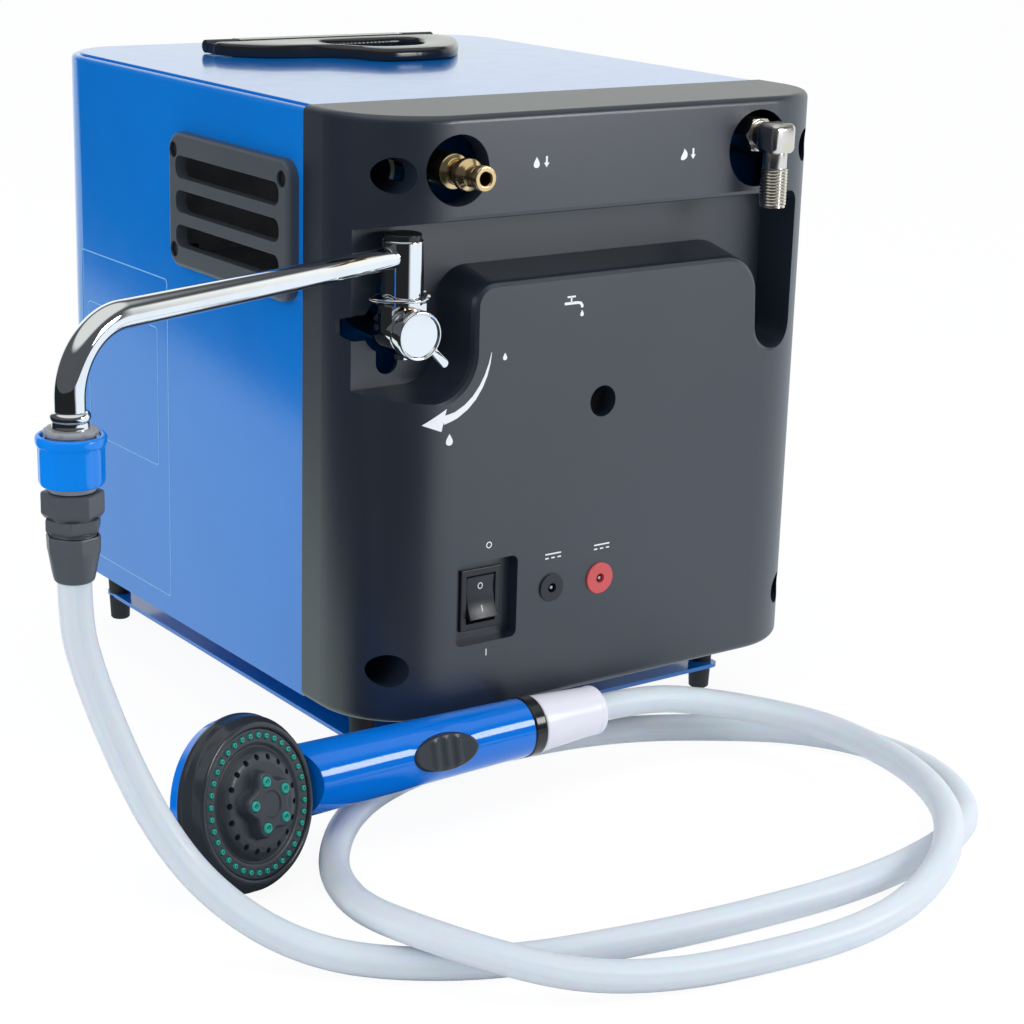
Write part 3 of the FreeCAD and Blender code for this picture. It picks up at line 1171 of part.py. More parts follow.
def make_handle():
    """Moulded handle lying flat on the lid, hinged on a rail near the back."""
    rail_y = case_back - s.rail_setback
    hinge_z = lid_top + s.hinge_rise
    rail = Body("rail_form")
    rail.pad(rail.sketch("XY", lid_top, rectangle(
        -s.rail_half, rail_y - s.rail_width / 2, s.rail_half, rail_y + s.rail_width / 2)),
        s.rail_height)
    rail.round(s.rail_edge, both(runs_along("X"), lambda e: e.CenterOfMass.z > number(lid_top) + AHEAD))
    bore = rod("rail_bore", s.hinge_pin, 2 * s.rail_half + 2, (-s.rail_half - 1, rail_y, hinge_z), "X")
    node(cut("handle_rail", rail.body, bore), "handle_rail")
    left, right = s.handle_left, s.handle_right
    node(rod("handle_pin_form", s.hinge_pin, right - left - 2 * s.knuckle, (
        left + s.knuckle, rail_y, hinge_z), "X"), "handle_pin")

    low = lid_top + s.handle_gap
    back = rail_y - s.rail_width / 2 - s.arm_gap
    # (x, y, bend) of the outline from the left arm's back to the right one's, then the grip hole
    outline = ((left, back + 2.5, 12), (left + 27, back - 29, 26), (left + 53, back - 47, 20),
               (left + 87, back - 77.5, 13), (right - 42, back - 77.5, 16), (right, back - 15.5, 12))
    hole = ((left + 69, back - 13.5, 8), (left + 69, back - 44.5, 10), (left + 86, back - 59.5, 10),
            (left + 116, back - 59.5, 12), (left + 136, back - 33.5, 14), (left + 139, back - 13.5, 6))
    arm = s.rail_half + s.hinge_gap + s.fit
    grip = Body("handle_form")
    grip.pad(grip.sketch("XY", low, (
        (left, rail_y), *((x, y) for x, y, _ in outline), (right, rail_y),
        (arm, rail_y), (arm, back), (-arm, back), (-arm, rail_y))), s.handle_thick)
    grip.pocket(grip.sketch("XY", low - 1, [(x, y) for x, y, _ in hole]),
                s.handle_thick + 2, away=True)
    for x, y, bend in outline + hole:
        grip.round(bend, both(runs_along("Z"), stands_at(x, y)))
    grip.round(s.handle_edge, both(lies_at("Z", low + s.handle_thick),
                                   lambda e: e.CenterOfMass.y < number(back) - 1))
    knuckles = [rod(f"handle_knuckle_{i}", s.knuckle, length, (start, rail_y, hinge_z), "X")
                for i, (start, length) in enumerate((
                    (left, -s.rail_half - s.hinge_gap - left),
                    (s.rail_half + s.hinge_gap, right - s.rail_half - s.hinge_gap)))]
    pin_bore = rod("handle_pin_bore", s.hinge_pin + s.bore_gap, right - left + 2, (
        left - 1, rail_y, hinge_z), "X")
    node(cut("carry_handle", fuse("handle_body_form", grip.body, *knuckles), pin_bore),
         "carry_handle")


# ---------------------------------------------------------------------------------------
# Hand shower, in its own frame: +X along the grip, +Z out of the face side
# ---------------------------------------------------------------------------------------

shower_turn = Rotation(AXES["X"], number(s.shower_tilt))
face_turn = Rotation(AXES["Y"], number(s.face_angle))


def on_shower(thing, name):
    """Put a piece that was made in the shower's own frame where the shower lies."""
    link = doc.addObject("App::Link", f"{name}_laid")
    link.LinkedObject = thing
    link.LinkTransform = True
    link.Placement = Placement(point(s.shower_x, s.shower_y, s.shower_z), shower_turn)
    return node(group(f"{name}_group", [link]), name)


def face_place(height):
    """A point on the spray face's axis, this far out from the rim's plane."""
    return point(0, 0, s.face_forward) + face_turn.multVec(Vector(0, 0, number(height)))


def face_form(name, profile):
    """A turned piece on the spray face's axis, by its (radius, height) profile."""
    form = Body(name)
    form.spin(form.sketch("XZ", 0, profile))
    form.body.Placement = Placement(face_place(0), face_turn)
    return form.body


def make_shower():
    make_shower_shell()
    make_spray_face()
    make_grip_pieces()


def make_shower_shell():
    """Blue head and grip in one moulding, with room for the spray ring and the button."""
    back, rim = s.shell_back, s.shell_radius
    head = Body("shower_head_form")
    slope = [(rim * across, -back * down) for across, down in HEAD_SLOPE]
    head.spin(head.sketch("XZ", 0, ((0, -back), *slope, (rim, 0), (0, 0))))
    head.round(s.head_edge, both(round_edge, lambda e: -number(back) - 1 < e.CenterOfMass.z < -number(back) / 2))
    head.body.Placement = Placement(face_place(0), face_turn)
    grip = taper("shower_grip", s.grip_thick, s.grip_thin, s.grip_end - s.grip_start,
                 (s.grip_start, 0, 0), "X")
    neck = doc.addObject("Part::Sphere", "shower_neck")
    bind(neck, "Radius", s.grip_thick)
    put(neck, (s.grip_start, 0, 0))
    around = s.ring_radius + s.ring_clearance
    room = face_form("shower_face_room", ((0, 0), (around, 0), (around, rim), (0, rim)))
    hollow = button_form("button_hollow", s.button_gap, s.grip_thick,
                         s.button_depth + s.button_room)
    shell = cut("shower_shell_form", fuse("shower_union", head.body, grip, neck), room, hollow)
    on_shower(shell, "handset_shell")


def make_spray_face():
    """Turning spray ring with the domed nozzle plate clipped into it, and the soft nozzles."""
    gap, tall, ring_radius = s.ring_gap, s.ring_height, s.ring_radius
    on_shower(face_form("spray_ring_form", (
        (s.disc_radius, gap), (ring_radius, gap), (ring_radius, gap + s.ring_band),
        (ring_radius - s.ring_step, s.ring_shoulder), (s.ring_front, tall), (s.disc_radius, tall))),
        "spray_ring")
    top = tall - s.disc_sink
    edge, step, core = s.disc_radius - s.bore_gap, s.disc_step, s.disc_core
    plate = face_form("nozzle_plate_form", (
        (0, gap), (edge, gap), (edge, top), (step + s.disc_groove, top), (step, top - s.disc_groove),
        (step - s.disc_groove, top), (s.hole_ring, s.dome_height), (core + s.disc_groove, s.dome_height),
        (core, s.core_height - 1), (core - 1, s.core_height), (s.core_dish, s.core_height),
        (s.core_dish - 1, s.core_height - s.small_edge), (0, s.core_height - s.small_edge)))
    outer = (s.outer_ring, s.outer_count, s.outer_nozzle, top - s.nozzle_seat)
    inner = (s.inner_ring, s.inner_count, s.inner_nozzle, s.core_height - s.nozzle_seat)
    holes = ring_of("spray_hole", s.hole_ring, s.hole_count, s.hole_radius,
                    s.dome_height - s.hole_depth, THROUGH)
    seats = ring_of("outer_seat", *outer, THROUGH) + ring_of("inner_seat", *inner, THROUGH, s.inner_turn)
    on_shower(cut("nozzle_plate_cut", plate, *seats, *holes), "nozzle_plate")
    length = s.nozzle_seat + s.nozzle_proud
    on_shower(group("outer_nozzle_group", ring_of("outer_nozzle", *outer, length)), "outer_nozzles")
    on_shower(group("inner_nozzle_group", ring_of("inner_nozzle", *inner, length, s.inner_turn)),
              "inner_nozzles")


def make_grip_pieces():
    """Ridged button, end ring and hose coupling on the grip."""
    button = button_form("button_form", 0, s.button_proud, s.button_depth)
    cuts = [rod(f"button_ridge_{i}", s.ridge_cut, 2 * s.button_long, (
        s.button_x + i * s.ridge_pitch, -s.button_long, s.grip_thin + s.button_proud + 2), "Y")
        for i in (-1.5, -0.5, 0.5, 1.5)]
    on_shower(cut("button_ridged", button, *cuts), "handset_button")
    ring_low = s.grip_end
    band = rod("end_ring_form", s.end_ring_radius, s.end_ring_height, (ring_low, 0, 0), "X")
    on_shower(ease("end_ring_eased", band, s.soft_edge, round_edge), "handset_end_ring")
    coupling_low = ring_low + s.end_ring_height
    coupling = taper("coupling_form", s.coupling_radius, s.coupling_tip, s.coupling_height,
                     (coupling_low, 0, 0), "X")
    on_shower(ease("coupling_eased", coupling, 2, lies_at("X", coupling_low + s.coupling_height)),
              "hose_coupling")


def ring_of(name, ring, count, radius, low, length, first=0):
    """Equal rods around the spray face's axis; first is the angle of the first one."""
    total = int(number(count))
    made = []
    for i in range(total):
        angle = math.radians(number(first)) + 2 * math.pi * i / total
        base = Vector(number(ring) * math.cos(angle), number(ring) * math.sin(angle), number(low))
        peg = doc.addObject("Part::Cylinder", f"{name}_{i}")
        bind(peg, "Radius", radius)
        bind(peg, "Height", length)
        peg.Placement = Placement(face_place(0) + face_turn.multVec(base), face_turn)
        made.append(peg)
    return made


def button_form(name, grow, rise, depth):
    """Oval that stands out of the grip's face side, or the hollow for it when grown by a gap."""
    oval = doc.addObject("Part::Ellipse", f"{name}_oval")
    bind(oval, "MajorRadius", s.button_long + grow)
    bind(oval, "MinorRadius", s.button_short + grow)
    put(oval, (s.button_x, 0, s.grip_thin - depth))
    solid = doc.addObject("Part::Extrusion", name)
    solid.Base = oval
    solid.Dir = Vector(0, 0, 1)
    solid.DirMode = "Custom"
    bind(solid, "LengthFwd", rise + s.button_crown + depth)
    solid.Solid = True
    return solid


# ---------------------------------------------------------------------------------------
# Hose: one free route from the clamp nut over the floor to the coupling
# ---------------------------------------------------------------------------------------

HOSE_ROUTE = (
    (-358, -279, 146), (-352, -285, 122), (-344, -293, 95), (-334, -303, 68), (-321, -315, 44),
    (-304, -331, 25), (-285, -350, 13), (-263, -371, 8), (-229, -397, 8), (-190, -413, 8),
    (-152, -421, 8), (-109, -429, 8), (-62, -434, 8), (-13, -437, 8), (36, -433, 8),
    (90, -419, 8), (119, -395, 8), (137, -362, 8), (142, -325, 8), (133, -288, 8),
    (112, -257, 8), (78, -232, 8), (40, -209, 8), (0, -196, 8), (-42, -191, 8),
    (-84, -189, 8), (-122, -194, 8), (-158, -209, 8), (-189, -233, 8), (-215, -265, 8),
    (-236, -305, 15), (-250, -350, 23), (-243, -390, 26), (-222, -425, 22), (-190, -450, 14),
    (-144, -463, 8), (-94, -472, 8), (-45, -476, 8), (-3, -473, 12), (35, -459, 19),
    (65, -435, 26), (87, -403, 26), (101, -366, 26), (105, -327, 26), (98, -295, 28),
    (80, -267, 30), (55, -246, 34),
)


def make_hose(top, over):
    radius = number(s.hose_radius)
    start = Vector(over.x, over.y, top)
    coupling_end = number(s.grip_end + s.end_ring_height + s.coupling_height)
    laid = Placement(point(s.shower_x, s.shower_y, s.shower_z), shower_turn)
    end = laid.multVec(Vector(coupling_end, 0, 0))
    below_nut = start - Vector(0, 0, HOSE_DROP)
    before_end = end + Vector(HOSE_LEAD, 0, 0)
    route = [start, below_nut] + [Vector(*p) for p in HOSE_ROUTE] + [before_end, end]
    shape, length, used = tube_shape(route, radius)
    section = math.pi * radius ** 2
    print(f"hose: {len(route)} points, length {length:.1f} mm, "
          f"tube volume / (section x length) = {shape.Volume / (section * length):.4f}")
    print("hose radii:", " ".join(f"{r:.0f}" for r in used), "smallest", f"{min(used):.1f}")
    runs = [(b - a).Length for a, b in zip(route, route[1:])]
    print("hose runs:", " ".join(f"{r:.0f}" for r in runs))
    node(fixed("shower_hose", shape), "shower_hose")


# ---------------------------------------------------------------------------------------
# Build, check and write
# ---------------------------------------------------------------------------------------

make_case_wrap()
make_top_cover()
make_chassis()
make_base_plate()
make_feet()
make_front_panel()
make_grille("left_grille", -1)
make_grille("right_grille", 1)
make_grille_screws()
make_burner()
make_exchanger()
make_valves_and_pipes()
make_water_inlet()
make_gas_inlet()
make_tap()
make_post()
spout_over = make_spout()
nut_low = make_connector(spout_over)
make_flow_knob()
make_switch()
make_sockets()
make_handle()
make_shower()
make_hose(nut_low, spout_over)

doc.recompute()
failed = [item.Name for item in doc.Objects if "Invalid" in item.State or "Error" in item.State]
if failed:
    raise RuntimeError(f"failed: {failed}")
for item in NODES:
    if item.Shape.isNull() or not item.Shape.isValid() or not item.Shape.Solids:
        raise RuntimeError(f"{item.Label} has no valid solid")

os.makedirs("parts", exist_ok=True)
for item in NODES:
    item.Shape.exportStep(f"parts/{item.Label}.step")
print(f"{len(NODES)} nodes, {sum(len(n.Shape.Solids) for n in NODES)} solids")
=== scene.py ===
import math

import bmesh
import bpy
from mathutils import Matrix, Vector


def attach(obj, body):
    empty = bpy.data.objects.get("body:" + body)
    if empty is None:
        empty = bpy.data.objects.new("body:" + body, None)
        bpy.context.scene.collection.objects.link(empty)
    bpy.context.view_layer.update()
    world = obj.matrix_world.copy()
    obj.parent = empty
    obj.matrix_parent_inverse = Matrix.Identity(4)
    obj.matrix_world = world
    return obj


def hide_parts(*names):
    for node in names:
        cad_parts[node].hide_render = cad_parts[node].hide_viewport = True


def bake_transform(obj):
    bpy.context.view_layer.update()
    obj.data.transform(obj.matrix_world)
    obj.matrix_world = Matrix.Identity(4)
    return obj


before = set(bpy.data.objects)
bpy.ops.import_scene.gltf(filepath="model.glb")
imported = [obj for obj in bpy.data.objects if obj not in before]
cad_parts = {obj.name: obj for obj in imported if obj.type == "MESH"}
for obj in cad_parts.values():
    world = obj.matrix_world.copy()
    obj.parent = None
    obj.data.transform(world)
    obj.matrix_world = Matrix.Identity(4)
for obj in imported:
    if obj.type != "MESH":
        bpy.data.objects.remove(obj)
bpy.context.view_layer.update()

# Metres in Blender. +X is to the right seen from the front, +Y to the back, +Z up, the floor
# at z = 0. Pieces are laid out in millimetres and turned into metres as their mesh is made.

MM = 0.001


def mm(*numbers):
    """A point or size given in millimetres."""
    return Vector([n * MM for n in numbers])


# ---- Shader maths and the materials

class Value:
    """A number that varies over a surface; arithmetic on it adds Math nodes."""

    def __init__(self, nodes, socket):
        self.nodes, self.socket = nodes, socket

    def math(self, operation, other):
        return self.nodes.add("Math", {"operation": operation}, {0: self, 1: other})

    def swapped(self, operation, other):
        return self.nodes.add("Math", {"operation": operation}, {0: other, 1: self})

    def __add__(self, other):
        return self.math("ADD", other)

    def __sub__(self, other):
        return self.math("SUBTRACT", other)

    def __mul__(self, other):
        return self.math("MULTIPLY", other)

    def __radd__(self, other):
        return self.swapped("ADD", other)

    def __rsub__(self, other):
        return self.swapped("SUBTRACT", other)

    def __rmul__(self, other):
        return self.swapped("MULTIPLY", other)

    def clamped(self):
        return self.math("MAXIMUM", 0.0).math("MINIMUM", 1.0)


FACTOR, FIRST, SECOND, MIXED = 0, 6, 7, 2       # sockets of a Mix node that blends colours


def rgba(colour):
    """Three numbers of a colour made four; anything else stays as it is."""
    return (*colour, 1.0) if isinstance(colour, tuple) else colour


class Nodes:
    """A node tree that is filled by type, settings and socket values."""

    def __init__(self, tree):
        self.tree = tree
        tree.nodes.clear()

    def add(self, kind, settings=None, sockets=None, out=0):
        node = self.tree.nodes.new("ShaderNode" + kind)
        for key, value in (settings or {}).items():
            setattr(node, key, value)
        for key, value in (sockets or {}).items():
            if isinstance(value, Value):
                self.tree.links.new(value.socket, node.inputs[key])
            else:
                node.inputs[key].default_value = value
        return Value(self, node.outputs[out]) if node.outputs else None

    def blend(self, amount, first, second):
        """A colour between two others."""
        return self.add("Mix", {"data_type": "RGBA"}, {
            FACTOR: amount, FIRST: rgba(first), SECOND: rgba(second)}, MIXED)

    def shaders(self, amount, first, second):
        """The first shader, turning into the second as the amount rises."""
        return self.add("MixShader", None, {0: amount, 1: first, 2: second})

    def light(self, kind, colour, strength):
        return self.add(kind, None, {"Color": rgba(colour), "Strength": strength})

    def ray(self, kind):
        return self.add("LightPath", out=f"Is {kind} Ray")

    def step(self, value, low, high):
        """0 below low, 1 above high, smooth between."""
        return self.add("MapRange", {"interpolation_type": "SMOOTHSTEP"}, {
            "Value": value, "From Min": low, "From Max": high, "To Min": 0.0, "To Max": 1.0})

    def parts(self, vector):
        split = self.add("SeparateXYZ", None, {"Vector": vector})
        return [Value(self, s) for s in split.socket.node.outputs]


class Finish(Nodes):
    """One procedural material."""

    def __init__(self, name):
        self.material = bpy.data.materials.new(name)
        self.material.use_nodes = True
        super().__init__(self.material.node_tree)

    def noise(self, scale, detail=2.0, rough=0.5, stretch=None, place="Object"):
        place = self.add("TexCoord", out=place)
        if stretch:
            place = self.add("Mapping", None, {"Vector": place, "Scale": stretch})
        return self.add("TexNoise", None, {
            "Vector": place, "Scale": scale, "Detail": detail, "Roughness": rough}, "Fac")

    def bump(self, height, depth):
        return self.add("Bump", None, {"Height": height, "Distance": depth})

    def surface(self, **sockets):
        values = {key.replace("_", " "): rgba(value) for key, value in sockets.items()}
        shader = self.add("BsdfPrincipled", None, values)
        self.add("OutputMaterial", None, {"Surface": shader})
        return self.material


def painted(name, colour, deep):
    """Enamel on sheet steel: faint orange peel, slightly uneven gloss and a clear top."""
    f = Finish(name)
    shade = f.step(f.noise(9.0, 3.0), 0.35, 0.7)
    rough = 0.10 + f.noise(60.0, 4.0) * 0.08
    return f.surface(Base_Color=f.blend(shade, colour, deep), Roughness=rough,
                     Coat_Weight=0.35, Coat_Roughness=0.05, IOR=1.5,
                     Normal=f.bump(f.noise(500.0, 1.0), 0.000012))


def moulded(name, colour, pale, rough, grain=2600.0, index=1.46):
    """Textured moulding: fine spark grain, small clouds of tone."""
    f = Finish(name)
    spark = f.noise(grain, 3.0, 0.6)
    shade = (f.step(f.noise(14.0, 4.0), 0.3, 0.75) * 0.6
             + f.step(f.noise(320.0), 0.4, 0.7) * 0.05).clamped()
    return f.surface(Base_Color=f.blend(shade, colour, pale), IOR=index,
                     Roughness=rough + (spark - 0.5) * 0.12, Normal=f.bump(spark, 0.00004))


def glossy(name, colour, deep, rough, coat=0.0):
    """Polished moulding with faint flow clouds and hairline scuffs."""
    f = Finish(name)
    scuff = f.step(f.noise(240.0, 5.0, 0.7, (1.0, 6.0, 1.0)), 0.62, 0.8)
    return f.surface(Base_Color=f.blend(f.noise(30.0, 3.0), colour, deep), IOR=1.5,
                     Roughness=rough + scuff * 0.12, Coat_Weight=coat,
                     Normal=f.bump(f.noise(160.0, 1.0), 0.000012))


def metal(name, colour, dull, rough, scale=300.0, depth=0.00001):
    """Bare or plated metal: duller clouds of tone, and small waves that uneven its gloss."""
    f = Finish(name)
    waves = f.noise(scale, 4.0, 0.6)
    return f.surface(Base_Color=f.blend(f.step(f.noise(45.0, 3.0), 0.4, 0.75), colour, dull),
                     Metallic=1.0, Roughness=rough + waves * rough * 0.8,
                     Normal=f.bump(waves, depth))


def soft(name, colour, pale, rough):
    """Rubber, silicone or ink: fine grain with a little dust in it."""
    f = Finish(name)
    grain = f.noise(1500.0, 3.0)
    dust = f.step(f.noise(70.0, 4.0, 0.6), 0.55, 0.8)
    return f.surface(Base_Color=f.blend(dust * 0.5, colour, pale), Roughness=rough + grain * 0.15,
                     Normal=f.bump(grain, 0.00004))


def clear_hose(name):
    """Milky soft tube: pale body, flow lines along it, and a painted edge shade: its rim is painted
    darker and bluer by the view angle.
    """
    f = Finish(name)
    # painted edge shade: where the surface turns away from the camera its colour is painted darker
    # and bluer
    edge = f.step(f.add("LayerWeight", None, {"Blend": 0.35}, "Facing"), 0.45, 0.98)
    lines = f.step(f.noise(1.0, 3.0, 0.5, (5.0, 26.0, 1.0), "UV"), 0.3, 0.7)
    body = f.blend(lines, (0.62, 0.65, 0.71), (0.67, 0.70, 0.755))
    return f.surface(Base_Color=f.blend(edge * 0.5, body, (0.60, 0.63, 0.74)),
                     Roughness=0.32 + lines * 0.1, IOR=1.4,
                     Subsurface_Weight=0.7, Subsurface_Scale=0.008)


def glass(name):
    """Smoked sight glass."""
    f = Finish(name)
    return f.surface(Base_Color=(0.03, 0.03, 0.035), Alpha=0.45 + f.noise(200.0) * 0.05,
                     Roughness=0.1, IOR=1.5)


BLUE = painted("blue_enamel", (0.0, 0.165, 0.58), (0.0, 0.155, 0.555))
PANEL = moulded("panel_moulding", (0.010, 0.016, 0.029), (0.014, 0.020, 0.034), 0.36, index=1.78)
GRILLE = moulded("grille_moulding", (0.050, 0.060, 0.072), (0.062, 0.072, 0.086), 0.38, 1800.0)
BLACK = glossy("black_gloss_moulding", (0.008, 0.010, 0.013), (0.012, 0.014, 0.018), 0.16)
SWITCH = moulded("switch_moulding", (0.016, 0.019, 0.025), (0.022, 0.026, 0.033), 0.3)
FACE = moulded("spray_face_moulding", (0.028, 0.035, 0.044), (0.036, 0.044, 0.054), 0.30, 1500.0)
RING = glossy("spray_ring_moulding", (0.020, 0.024, 0.031), (0.026, 0.031, 0.039), 0.14)
RUBBER = soft("black_rubber", (0.012, 0.013, 0.015), (0.026, 0.027, 0.030), 0.6)
CHROME = metal("chrome_plate", (0.86, 0.87, 0.90), (0.81, 0.82, 0.85), 0.03, scale=120.0,
               depth=0.0000015)
STEEL = metal("zinc_plate", (0.52, 0.53, 0.55), (0.42, 0.43, 0.45), 0.25)
SCREW = metal("blackened_screw", (0.10, 0.105, 0.115), (0.07, 0.073, 0.08), 0.35)
BRASS = metal("turned_brass", (0.82, 0.60, 0.33), (0.74, 0.52, 0.26), 0.14)
PLATED = metal("passivated_plate", (0.72, 0.68, 0.66), (0.70, 0.64, 0.50), 0.16)
COPPER = metal("drawn_copper", (0.72, 0.40, 0.27), (0.62, 0.33, 0.21), 0.3)
GALVANISED = metal("galvanised_sheet", (0.55, 0.56, 0.58), (0.45, 0.46, 0.49), 0.35)
SHELL = glossy("handset_blue", (0.0, 0.168, 0.69), (0.0, 0.158, 0.66), 0.07, 0.1)
COLLAR = glossy("collar_blue", (0.0, 0.225, 0.80), (0.0, 0.20, 0.74), 0.14)
GREY = moulded("adapter_grey", (0.070, 0.080, 0.095), (0.085, 0.095, 0.11), 0.36, 1400.0)
INSERT = moulded("insert_grey", (0.26, 0.27, 0.29), (0.34, 0.35, 0.37), 0.35, 1400.0)
TEAL = soft("teal_silicone", (0.012, 0.33, 0.27), (0.03, 0.40, 0.34), 0.35)
RED = glossy("socket_red", (0.60, 0.085, 0.09), (0.53, 0.07, 0.075), 0.3)
WHITE = glossy("coupling_white", (0.80, 0.80, 0.87), (0.74, 0.74, 0.82), 0.25)
PRINT = soft("white_print", (0.80, 0.82, 0.86), (0.72, 0.74, 0.78), 0.5)
PALE_PRINT = soft("pale_blue_print", (0.20, 0.47, 0.74), (0.17, 0.43, 0.70), 0.5)
HOSE = clear_hose("milky_hose")
SIGHT = glass("sight_glass")

# The CAD pieces that keep their mesh, by finish.
CARRIED = (
    (BLUE, "case_wrap top_cover chassis_front base_pan base_plate"),
    (PANEL, "front_panel"),
    (GRILLE, "left_grille right_grille"),
    (BLACK, "post_cap handle_rail handset_end_ring ignition_module"),
    (SWITCH, "switch_bezel dc_socket_black"),
    (RED, "dc_socket_red"),
    (RUBBER, "rubber_feet foot_spacers"),
    (SHELL, "handset_shell"),
    (SIGHT, "flame_window"),
    (CHROME, "tap_body drain_screw swivel_post spout_tip_ring"),
    (BRASS, "post_spigot water_valve"),
    (STEEL, "foot_bolts socket_pins handle_pin burner gas_manifold gas_valve"),
    (SCREW, "panel_screws grille_screws"),
    (GALVANISED, "combustion_chamber flue_duct"),
    (COPPER, "heat_exchanger cold_water_pipe gas_pipe hot_water_pipe exchanger_feed_pipe "
             "manifold_feed_pipe"),
)
for finish, names in CARRIED:
    for node_name in names.split():
        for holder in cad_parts[node_name].material_slots:
            holder.material = finish


# ---- Making pieces

SHARP = 38.0        # degrees; a steeper edge is shaded as an edge


def piece(name, mesh, material, body="root", replaces=None):
    """Puts a mesh into the scene; it rides on a body and may stand for one CAD node."""
    obj = bpy.data.objects.new(name, mesh)
    bpy.context.scene.collection.objects.link(obj)
    mesh.materials.clear()
    mesh.materials.append(material)
    if body:
        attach(obj, body)
    if replaces:
        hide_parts(replaces)
    return obj


def spline_of(name, points):
    """A NURBS curve on its control points, in metres."""
    curve = bpy.data.curves.new(name, "CURVE")
    curve.dimensions = "3D"
    curve.resolution_u = 8
    spline = curve.splines.new("NURBS")
    spline.points.add(len(points) - 1)
    for vertex, at in zip(spline.points, points):
        vertex.co = (*at, 1.0)
    spline.order_u = 3
    spline.use_endpoint_u = True
    return curve


def line_of(name, points):
    """The points along that spline, in order."""
    curve = spline_of(name, points)
    holder = bpy.data.objects.new(name, curve)
    mesh = bpy.data.meshes.new_from_object(holder)
    line = [v.co.copy() for v in mesh.vertices]
    bpy.data.objects.remove(holder)
    bpy.data.curves.remove(curve)
    return line


def turns(count, start=0.0):
    """Angles spaced evenly once round."""
    return [start + 2 * math.pi * k / count for k in range(count)]


def within(value):
    """The value kept between 0 and 1."""
    return max(0.0, min(1.0, value))


def sideways(line):
    """At each point of a line two axes across it that don't twist."""
    ahead = [(b - a).normalized() for a, b in zip(line, line[1:])]
    ahead.append(ahead[-1])
    side = ahead[0].orthogonal().normalized()
    frames = []
    for i, way in enumerate(ahead):
        along = way if i == 0 or i == len(ahead) - 1 else (ahead[i - 1] + way).normalized()
        side = (side - along * side.dot(along)).normalized()
        frames.append((side, along.cross(side)))
    return frames


def eased(points, ease, steps=3):
    """An outline with each inner corner turned into a small curve."""
    points = [Vector(p) for p in points]
    result = [points[0]]
    for before, corner, after in zip(points, points[1:], points[2:]):
        back, on = before - corner, after - corner
        cut = min(ease, back.length * 0.45, on.length * 0.45)
        first, last = corner + back.normalized() * cut, corner + on.normalized() * cut
        for i in range(steps + 1):
            t = i / steps
            result.append(first * (1 - t) ** 2 + corner * 2 * t * (1 - t) + last * t ** 2)
    result.append(points[-1])
    return result


class Shape:
    """A mesh in millimetres that grows by turned, drawn and extruded forms."""

    def __init__(self):
        self.build = bmesh.new()

    def vertex(self, point):
        return self.build.verts.new(point)

    def skin(self, rings):
        """Faces between closed rows of as many vertices each."""
        for a, b in zip(rings, rings[1:]):
            for k in range(len(a)):
                on = (k + 1) % len(a)
                corners = [a[k], a[on], b[on], b[k]]
                corners = [c for i, c in enumerate(corners) if c not in corners[:i]]
                if len(corners) > 2:
                    self.build.faces.new(corners)

    def turned(self, profile, place, sides, bend=None):
        """(radius, height) points spun about local Z; bend varies them round the turn."""
        rings = []
        for index, (radius, height) in enumerate(profile):
            if radius < 1e-6:
                rings.append([self.vertex(place @ Vector((0, 0, height)))] * sides)
                continue
            ring = []
            for angle in turns(sides):
                r, h = bend(angle, radius, height, index) if bend else (radius, height)
                ring.append(self.vertex(place @ Vector((r * math.cos(angle),
                                                        r * math.sin(angle), h))))
            rings.append(ring)
        self.skin(rings)
        return self

    def drawn(self, line, radii, sides, inner=None):
        """A round bar or, with an inner radius, a tube along a line of points."""
        walls = [radii] if inner is None else [radii, [inner] * len(line)]
        loops = [[[self.vertex(at + (side * math.cos(t) + up * math.sin(t)) * radius)
                   for t in turns(sides)]
                  for at, (side, up), radius in zip(line, sideways(line), wall)]
                 for wall in walls]
        for rings in loops:
            self.skin(rings)
        for end in (0, -1):
            if inner is None:
                self.build.faces.new(loops[0][end])
            else:
                self.skin([loops[0][end], loops[1][end]])
        return self

    def extruded(self, outline, low, high, place=Matrix()):
        """A flat outline in local XY, run along local Z."""
        rows = [[self.vertex(place @ Vector((x, y, z))) for x, y in outline] for z in (low, high)]
        self.skin(rows)
        for row in rows:
            self.build.faces.new(row)
        return self

    def softened(self, width, angle, segments=3):
        """Bevels every edge sharper than the angle."""
        bmesh.ops.recalc_face_normals(self.build, faces=self.build.faces)
        edges = [e for e in self.build.edges if len(e.link_faces) == 2
                 and e.calc_face_angle(0.0) > math.radians(angle)]
        bmesh.ops.bevel(self.build, geom=edges, offset=width, segments=segments, profile=0.5,
                        affect="EDGES", clamp_overlap=True)
        return self

    def welded(self):
        """Joins vertices that lie on one another."""
        bmesh.ops.remove_doubles(self.build, verts=self.build.verts, dist=0.001)
        return self

    def mesh(self, name, sharp=SHARP):
        for vertex in self.build.verts:
            vertex.co *= MM
        bmesh.ops.recalc_face_normals(self.build, faces=self.build.faces)
        mesh = bpy.data.meshes.new(name)
        self.build.to_mesh(mesh)
        self.build.free()
        mesh.shade_smooth()
        mesh.set_sharp_from_angle(angle=math.radians(sharp))
        return mesh

    def made(self, name, material, body="root", slot=None, replaces=None, sharp=SHARP):
        return piece(name, self.mesh(name, sharp), material, body, replaces)


def cut_away(name, mesh, cutter):
    """The mesh with the cutter's forms taken out of it."""
    tool = bpy.data.objects.new(name + "_cutter", cutter)
    work = bpy.data.objects.new(name + "_work", mesh)
    for obj in (tool, work):
        bpy.context.scene.collection.objects.link(obj)
    cut = work.modifiers.new("cut", "BOOLEAN")
    cut.operation, cut.solver, cut.object = "DIFFERENCE", "EXACT", tool
    result = bpy.data.meshes.new_from_object(work.evaluated_get(
        bpy.context.evaluated_depsgraph_get()))
    for obj in (work, tool):
        bpy.data.objects.remove(obj)
    result.set_sharp_from_angle(angle=math.radians(SHARP))
    return result


